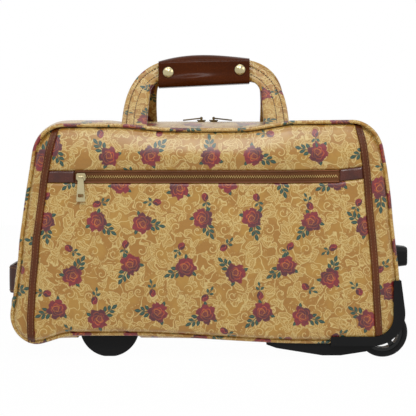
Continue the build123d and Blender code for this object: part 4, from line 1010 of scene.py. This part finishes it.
def pocket_right(z):
    """Right edge of the pocket, tucked under the right strip."""
    return read_off(strip_lines[1], z) - strip_width / 2 + tuck


for name, low_z, high_z, rows, print_shift in (
        ("pocket_lower", pocket_low, zip_low - sheet_gap, 70, (1517, 30)),
        ("pocket_upper", zip_high + sheet_gap, pocket_top, 40, (1654, 304))):
    points = sheet_on_front(low_z, high_z, pocket_left, pocket_right, pocket_height, rows, pocket_columns)
    grid_piece(f"{name}_cloth", points, canvas, (f"{name}_panel",),
               uv=points[..., [0, 2]] + print_shift)

# %% [markdown]
# A lock stitch shows as a row of short plump threads. A striped texture would look drawn on; one small
# capsule, set down again and again along a path, casts its own shadow.

# %% Stitches
stitch_length, stitch_pitch, stitch_radius, stitch_sides = 3.4, 4.4, 0.55, 6
capsule_rings = ((-0.5, 0.35), (-0.34, 1.0), (0.34, 1.0), (0.5, 0.35))


def stitch_capsule():
    """Quads of a small rounded rod along x: four rings, the outer two drawn in to a third of the radius."""
    places, sizes = np.array(capsule_rings).T[..., None]
    angles = turn_steps(stitch_sides)
    rings = np.stack(np.broadcast_arrays(places * stitch_length, sizes * stitch_radius * np.cos(angles),
                                         sizes * stitch_radius * np.sin(angles)), -1)
    i, j = np.meshgrid(np.arange(3), np.arange(stitch_sides), indexing="ij")
    following = (j + 1) % stitch_sides
    walls = np.stack([i * stitch_sides + j, i * stitch_sides + following, (i + 1) * stitch_sides + following,
                      (i + 1) * stitch_sides + j], -1)
    ends = [[0, 5, 4, 3], [0, 3, 2, 1], [18, 19, 20, 21], [18, 21, 22, 23]]
    return rings.reshape(-1, 3), np.concatenate([walls.reshape(-1, 4), ends])


def nearest_on(path, spots):
    """Index of the point of a path that is nearest to each spot."""
    return np.linalg.norm(path[None] - spots[:, None], axis=-1).argmin(1)


def stitch_row(name, paths, normals, material=thread_tan, slot="brown_leather"):
    """Stitches along paths of points (n, 3), flat on the surface whose normals are given."""
    shape, faces = stitch_capsule()
    origins, axes = [], []
    for path, normal in zip(paths, normals):
        ends = spaced(path, int(round(distance_along(path)[-1] / stitch_pitch)))
        spots = (ends[:-1] + ends[1:]) / 2
        ahead = unit(np.gradient(spots, axis=0))
        side = unit(np.cross(normal[nearest_on(path, spots)], ahead))
        origins.append(spots)
        axes.append(np.stack([ahead, side, np.cross(ahead, side)], 1))
    return repeated_piece(name, shape, faces, np.concatenate(origins), np.concatenate(axes), material, slot)


print("stitches", stitch_pitch, "mm apart")

# %% [markdown]
# A leather strip covers the pocket's raw edge on each side. A flat band would do from afar; this one has
# turned edges that stand up and a channel for the stitches, as a profile carried down the strip's line.
# The right strip ends where the wheel housing's flange begins.

# %% Leather strips beside the pocket
strip_rows, strip_low, strip_foot_z, strip_sewn = 100, base_z + 0.6, 38.0, slice(4, -3)
flange_x, flange_z, flange_radius, flange_clear = 231.0, 59.0, 27.8, 1.4
# Half of the profile from its middle outwards: share of the width, share of the height.
strip_profile = np.array([(0, 0.74), (0.14, 0.72), (0.27, 0.66), (0.34, 0.86), (0.40, 1.0), (0.45, 0.9),
                          (0.49, 0.45), (0.5, 0)])
strip_shares, proud_shares = np.concatenate([strip_profile[:0:-1] * (-1, 1), strip_profile]).T
stitch_columns = (5, 9)
for side, place in ((-1, "left"), (1, "right")):
    across = strip_width * strip_shares
    low = np.full(len(across), strip_low)
    if side > 0:
        reach = np.clip(read_off(strip_lines[side], strip_foot_z) + across - flange_x, 0, None)
        low = flange_z - np.sqrt(flange_radius**2 - reach**2) + flange_clear
    z = low + (strip_top - low) * np.linspace(0, 1, strip_rows)[:, None]
    x = side * read_off(strip_lines[side], z) + across
    depth = panel_depth(x, z, front_puff) + strip_height * proud_shares + sheet_lift
    strip = slack(np.stack([x, -depth, z], -1))
    grid_piece(f"{place}_strip_leather", strip, leather, (f"{place}_strip",))
    normals = unit(np.cross(np.gradient(strip, axis=0), np.gradient(strip, axis=1)))
    stitch_row(f"{place}_strip_stitches", [strip[strip_sewn, i] for i in stitch_columns],
               [normals[strip_sewn, i] for i in stitch_columns])

# %% [markdown]
# A glazed tab covers each end of the pocket zip. It is a sheet like the pocket's, a little thicker. Glaze
# shows every dent, so a small crumple across the tab breaks its shine; a bump texture would leave its
# outline dead straight.

# %% Zip tabs
tab_height, tab_rows, tab_columns, crumple, crumple_length = 2.9, 22, 60, 0.45, 4.5
for place, left, right in (
        ("left", pocket_left, lambda z: np.full_like(z, zip_left - sheet_gap)),
        ("right", lambda z: np.full_like(z, zip_right + sheet_gap), pocket_right)):
    tab = sheet_on_front(zip_low, zip_high, left, right, tab_height, tab_rows, tab_columns)
    upwards = np.sin(np.pi * (tab[..., 2] - zip_low) / zip_band)
    tab[..., 1] -= crumple * np.sin(tab[..., 0] / crumple_length) * upwards
    grid_piece(f"{place}_tab_leather", tab, dark_leather, (f"{place}_zip_tab",))

# %% [markdown]
# A zip is a woven tape and two rows of small cast teeth that reach into each other's gaps. Every tooth is
# the same rounded block, set down along the chain; a texture of teeth would have no gaps to look into.

# %% Zip teeth
tooth_length, tooth_width, tooth_height, tooth_pitch, tooth_offset = 2.3, 1.15, 1.7, 3.2, 0.8
tooth_rings, tooth_squareness = ((-0.5, 0.8), (-0.32, 1.0), (0.32, 1.0), (0.5, 0.7)), 0.6


def tooth_block():
    """Quads of a block with chamfered ends: four rings of eight points along x, y up, z across."""
    angles = (np.arange(8) + 0.5) * np.pi / 4
    places, sizes = np.array(tooth_rings).T[..., None]
    rings = np.stack(np.broadcast_arrays(
        places * tooth_length, sizes * tooth_width / 2 * pressed(np.cos(angles), tooth_squareness),
        sizes * tooth_height / 2 * pressed(np.sin(angles), tooth_squareness)), -1)
    i, j = np.meshgrid(np.arange(3), np.arange(8), indexing="ij")
    walls = np.stack([i * 8 + j, (i + 1) * 8 + j, (i + 1) * 8 + (j + 1) % 8, i * 8 + (j + 1) % 8], -1)
    ends = [[0, 1, 2, 3], [0, 3, 4, 7], [4, 5, 6, 7], [24, 27, 26, 25], [24, 31, 28, 27], [28, 31, 30, 29]]
    return rings.reshape(-1, 3), np.concatenate([walls.reshape(-1, 4), ends])[:, ::-1]


def zip_chain(name, path, up, replaced):
    """Two staggered rows of teeth along a path (n, 3); up (n, 3) is the way that the zip faces."""
    spots = spaced(path, int(round(distance_along(path)[-1] / (tooth_pitch / 2))))
    ahead, face = unit(np.gradient(spots, axis=0)), unit(up[nearest_on(path, spots)])
    row = np.where(np.arange(len(spots)) % 2, 1.0, -1.0)[:, None]
    reach = unit(np.cross(face, ahead)) * row
    origins = spots + reach * tooth_offset + face * tooth_height / 2
    axes = np.stack([-reach, ahead, np.cross(-reach, ahead)], 1)
    return repeated_piece(name, *tooth_block(), origins, axes, brass, "zip_brass", replaced)


print("teeth", tooth_pitch, "mm apart in each row")

# %% [markdown]
# The pocket zip's tape is ribbed along its length, and a leather binding covers each of its edges. The
# ribs are in the mesh, so they show at the ends of the tape too, where a bump would stop short.

# %% Pocket zip
tape_height, tape_thickness, rib_pitch, rib_height, chain_half = 1.0, 0.8, 2.3, 0.3, (1.6, 2.4)
binding_inner, binding_overlap, binding_stand, binding_round, binding_sides = 7.0, 0.15, 1.7, 1.3, 14
zip_x = np.linspace(zip_left, zip_right, 120)
tape_across = np.linspace(-zip_band / 2, zip_band / 2, 61)[:, None]
beside_chain = smooth_step(np.abs(tape_across), *chain_half)
ribs = rib_height * np.cos(2 * np.pi * tape_across / rib_pitch) * beside_chain
tape_face = panel_face + tape_height
tape = np.stack(np.broadcast_arrays(zip_x, -(tape_face + ribs), zip_z + tape_across), -1)
tape = grid_piece("pocket_tape", slack(tape), tape_cloth, ("pocket_zip_tape",))
thicken(tape, tape_thickness)
chain = slack(np.stack(np.broadcast_arrays(zip_x, -tape_face, zip_z), -1))[1:-1]
zip_chain("pocket_chain", chain, np.broadcast_to((0.0, -1.0, 0.0), chain.shape), ("pocket_zip_teeth",))
for edge, place in ((-1, "lower"), (1, "upper")):
    middle = zip_z + edge * (zip_band / 2 + binding_inner) / 2
    half = (zip_band / 2 - binding_inner) / 2 + binding_overlap
    angles = turn_steps(binding_sides)
    binding = np.stack(np.broadcast_arrays(
        zip_x[:, None], -(panel_face + binding_stand + binding_round * np.sin(angles)),
        middle + half * np.cos(angles)), -1)
    grid_piece(f"{place}_zip_binding", slack(binding), binding_leather, closed=True,
               capped=True)

# %% [markdown]
# The main zip runs along the crown and down both ends. Its tape bends with the wall to each side, so it is
# laid on the same loft as the gusset; a flat ribbon would cut through the cloth at the corners.

# %% Main zip along the top and down both ends
main_tape_half, main_tape_columns, zip_sink = 17.5, 13, 0.75
on_zip = crown[:, 1] > zip_end_z
path = np.stack([crown[on_zip, 0], np.zeros(on_zip.sum()), crown[on_zip, 1]], -1)
outward = out_of_bag(unit(np.gradient(path, axis=0)))
path = path - zip_sink * outward
fall = (seam - crown)[on_zip, None]
tape_across = np.linspace(-main_tape_half, main_tape_half, main_tape_columns)
lean = (tape_across / gusset_half) ** 2
tape_points = path[:, None] + np.stack(np.broadcast_arrays(fall[..., 0] * lean, tape_across,
                                                           fall[..., 1] * lean), -1)
tape = grid_piece("main_tape", tape_points, tape_cloth, ("main_zip_tape",))
thicken(tape, tape_thickness)
zip_chain("main_chain", path, outward, ("main_zip_chain",))

# %% [markdown]
# The carry handles are padded straps of the printed cloth that rise from the top seams, lean in and meet
# under the leather wrap. Seen from the front each is a superellipse; a section with a soft crown is
# carried along it. A curve with a bevel would twist at the bends, so each point's own directions are
# worked out. The inner edge is gathered where the strap bends.

# %% Carry handles
leg_y, root_z, bar_z, bar_y = 110.0, 315.0, 407.0, 5.2
leg_places, bar_places, squareness = {-1: 99.5, 1: 96.0}, {-1: -3.0, 1: 1.5}, {-1: 3.3, 1: 4.0}
strap_lean, strap_width, strap_thickness, strap_steps, strap_sides = 1.55, 36.0, 7.0, 150, 64
edge_power, crown_power, arch_end, fine_steps = 0.55, 0.62, 0.0004, 4000
stitch_lines, stitch_sink, groove_depth, groove_half = (-11.0, -0.8), 0.6, 0.8, 1.5
inner_gather, strap_print_shift = {-1: 0.72, 1: 0.48}, {-1: (271, 90), 1: (951, 90)}


def strap_frames(side):
    """Middle points of a strap with its width and outward directions; arch |x|^n + |z|^n = 1 leaning in."""
    power = 2 / squareness[side]
    rise, inrun, leg_x = bar_z - root_z, leg_y - bar_y, leg_places[side]

    def place(a):
        share = np.abs(np.sin(a)) ** power
        x = bar_places[side] + leg_x * pressed(np.cos(a), power)
        y = side * (bar_y + inrun * (1 - share) ** strap_lean)
        return np.stack([x, y, root_z + rise * share], -1), share

    fine = np.pi * (arch_end + (1 - 2 * arch_end) * np.linspace(0, 1, fine_steps))
    run = distance_along(place(fine)[0])
    lengths = np.linspace(0, run[-1], strap_steps)
    middle, share = place(np.interp(lengths, run, fine))
    roll = np.arctan2(inrun * strap_lean, rise) * (1 - share)
    outward = np.stack([0 * roll, side * np.cos(roll), np.sin(roll)], -1)
    along = unit(np.gradient(middle, axis=0))
    width = unit(np.cross(along, outward) * side)
    return middle, along, width, unit(np.cross(width, along)) * side, lengths


angles = turn_steps(strap_sides)
section_s = strap_width / 2 * pressed(np.cos(angles), edge_power)
crown_t = strap_thickness / 2 * pressed(np.sin(angles), crown_power)
groove = sum(np.exp(-((section_s - line) / groove_half) ** 2) for line in stitch_lines)
section_t = crown_t - groove_depth * groove * np.sign(crown_t)
section = np.stack([section_s, section_t], -1)
around = distance_along(np.concatenate([section, section[:1]]))
for side, place in ((-1, "front"), (1, "rear")):
    middle, along, width, outward, lengths = strap_frames(side)
    gather = 1 - inner_gather[side] * np.abs(2 * along[:, 0] * along[:, 2])
    across = np.where(section_s > 0, section_s * gather[:, None], section_s)[..., None]
    strap = middle[:, None] + width[:, None] * across + outward[:, None] * section_t[:, None]
    on_cloth = np.stack(np.broadcast_arrays(lengths[:, None], around), -1) + strap_print_shift[side]
    handle = grid_piece(f"{place}_handle_cloth", strap, canvas, (f"{place}_handle",),
                        uv=on_cloth, closed=True, capped=True, inside_out=side > 0)
    bed = outward * (strap_thickness / 2 - stitch_sink)
    rows = [(face, line) for face in (1, -1) for line in stitch_lines]
    stitch_row(f"{place}_handle_stitches", [middle + width * line + bed * face for face, line in rows],
               [outward * face for face, _ in rows], thread_dark, "printed_canvas")

# %% [markdown]
# The wrap is a piece of glazed leather folded round both straps and snapped shut. Its tube bows with the
# handles, and its free flap lies over the front with the snaps at its corners. A cloth simulation would
# fold it too, but the leather is stiff: its section is drawn once and shifts along the length.

# %% Leather wrap
wrap_left, wrap_right, wrap_top, wrap_low, wrap_fold = -71.0, 61.0, 429.0, 383.7, 419.6
top_droop, top_skew, low_skew, fold_skew, fold_room = 7.2, 2.2, 3.2, 1.7, 1.6
wrap_rows, wrap_sides, wrap_softness, leather_thickness = 100, 96, 3, 2.0
# Front half of the section from the bottom up: depth and rise in mm, shares of the flap and of the roll.
wrap_profile = ((0, 0, 0, 0), (13, 0, 0, 0), (18, 1.2, 0, 0), (19.6, 4.5, 0, 0), (19.9, 0, 0.28, 0),
                (18.9, 0, 0.55, 0), (19.2, 0, 0.8, 0), (19.9, -1.5, 1, 0), (19.2, 0.4, 1, 0),
                (16.5, 0, 1, 0.35), (11, 0, 1, 0.8), (5, 0, 1, 1), (0, 0, 1, 1))
# A swelling across the flap catches the light: its size, its place along, and its height above the floor.
swell_depth, swell_middle, swell_length, swell_z, swell_skew, swell_half = 2.0, -0.3, 0.45, 395, 5, 5


def wrap_section(share):
    """Closed section in y, z at a share -1..1 of the length: flat flap, fold line, then the roll on top."""
    top = wrap_top - (top_droop - top_skew * share) * share**2
    low = wrap_low + low_skew * share
    fold = min(wrap_fold + fold_skew * share, top - fold_room)
    depth, rise, of_flap, of_roll = np.array(wrap_profile).T
    front = np.stack([-depth, low + rise + of_flap * (fold - low) + of_roll * (top - fold)], -1)
    ring = spaced(np.concatenate([front, (front * (-1, 1))[-2::-1]]), wrap_sides)[:-1]
    for _ in range(wrap_softness):
        ring = (np.roll(ring, 1, 0) + 2 * ring + np.roll(ring, -1, 0)) / 4
    return ring


shares = np.linspace(-1, 1, wrap_rows)
y, z = np.moveaxis([wrap_section(share) for share in shares], -1, 0)
x, shares = np.linspace(wrap_left, wrap_right, wrap_rows)[:, None], shares[:, None]
swelling = swell_depth * np.exp(-(((shares - swell_middle) / swell_length) ** 2))
swelling = swelling * np.exp(-(((z - swell_z - swell_skew * shares) / swell_half) ** 2))
wrap = np.stack(np.broadcast_arrays(x, y + np.sign(y) * swelling, z), -1)
wrap = grid_piece("wrap_leather", wrap, wrap_leather, ("handle_wrap",), closed=True,
                  inside_out=True)
thicken(wrap, leather_thickness)

# %% [markdown]
# Two domed caps close the snaps. A flattened UV sphere would do, but its poles would lie in the middle of
# the shine. Each cap here is part of a larger sphere over a short rim, turned about its own axis.

# %% Snap caps
cap_radius, cap_rim, cap_height, cap_bore, cap_eye, cap_sides = 7.7, 0.7, 3.0, 2.0, 0.03, 32
cap_low, cap_high = (np.array(corner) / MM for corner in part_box("snap_caps"))
dome_height = cap_height - cap_rim
sphere = (cap_radius**2 + dome_height**2) / (2 * dome_height)
dome_radii = np.sin(np.linspace(cap_eye, np.arcsin(cap_radius / sphere), 16)) * sphere
ring_radius = np.concatenate([dome_radii, [cap_radius, cap_bore]])[:, None]
dome_depths = sphere - np.sqrt(sphere**2 - dome_radii**2)
ring_depth = cap_low[1] + np.concatenate([dome_depths, [cap_height, cap_height]])[:, None]
angles = turn_steps(cap_sides)
for place, middle, replaced in (("left", cap_low + cap_radius, ("snap_caps",)),
                                ("right", cap_high - cap_radius, ())):
    dome = np.stack(np.broadcast_arrays(middle[0] + ring_radius * np.cos(angles), ring_depth,
                                        middle[2] + ring_radius * np.sin(angles)), -1)
    grid_piece(f"{place}_snap_cap", dome, pale_brass, replaced, closed=True, capped=True,
               inside_out=True)

# %% [markdown]
# On the left end a leather grab strap is riveted over the pull handle. It lies flat at both ends and
# bows out between them, with its edges turned and sewn. It could be a bent box; a rounded section carried
# along a soft step has no hard bends.

# %% Grab handle
grab_low, grab_high, grab_half = 84.0, 124.0, 74.0
grab_foot, grab_bow, grab_thickness, grab_rows, grab_sides = 272.19, 15.0, 4.5, 90, 36
bow_reach, tip_reach, tip_dip, end_round, least_pinch = (33, 55), (69, 74), 3.0, 9, 0.05
flat_power, side_power, sewn_edge, sewn_end = 0.4, 0.7, 3.6, 6
grab_middle_z = (grab_low + grab_high) / 2
grab_y = np.linspace(-grab_half, grab_half, grab_rows)
reach = np.abs(grab_y)
stand = grab_foot + grab_bow * fade(reach, *bow_reach) - tip_dip * smooth_step(reach, *tip_reach)
past_end = np.clip(reach - grab_half + end_round, 0, end_round) / end_round
half_height = (grab_high - grab_low) / 2 - end_round * (1 - np.sqrt(np.clip(1 - past_end**2, least_pinch, 1)))
angles = turn_steps(grab_sides)
grab = np.stack(np.broadcast_arrays(
    -(stand[:, None] + grab_thickness / 2 * (pressed(np.sin(angles), side_power) - 1)), grab_y[:, None],
    grab_middle_z + half_height[:, None] * pressed(np.cos(angles), flat_power)), -1)
grid_piece("grab_strap_leather", grab, grab_leather, ("grab_handle",), closed=True,
           capped=True, inside_out=True)
sewn = reach < grab_half - sewn_end
paths = [np.stack([-stand[sewn], grab_y[sewn], grab_middle_z + edge * (half_height[sewn] - sewn_edge)], -1)
         for edge in (-1, 1)]
stitch_row("grab_strap_stitches", paths, [np.broadcast_to((-1.0, 0, 0), path.shape) for path in paths])
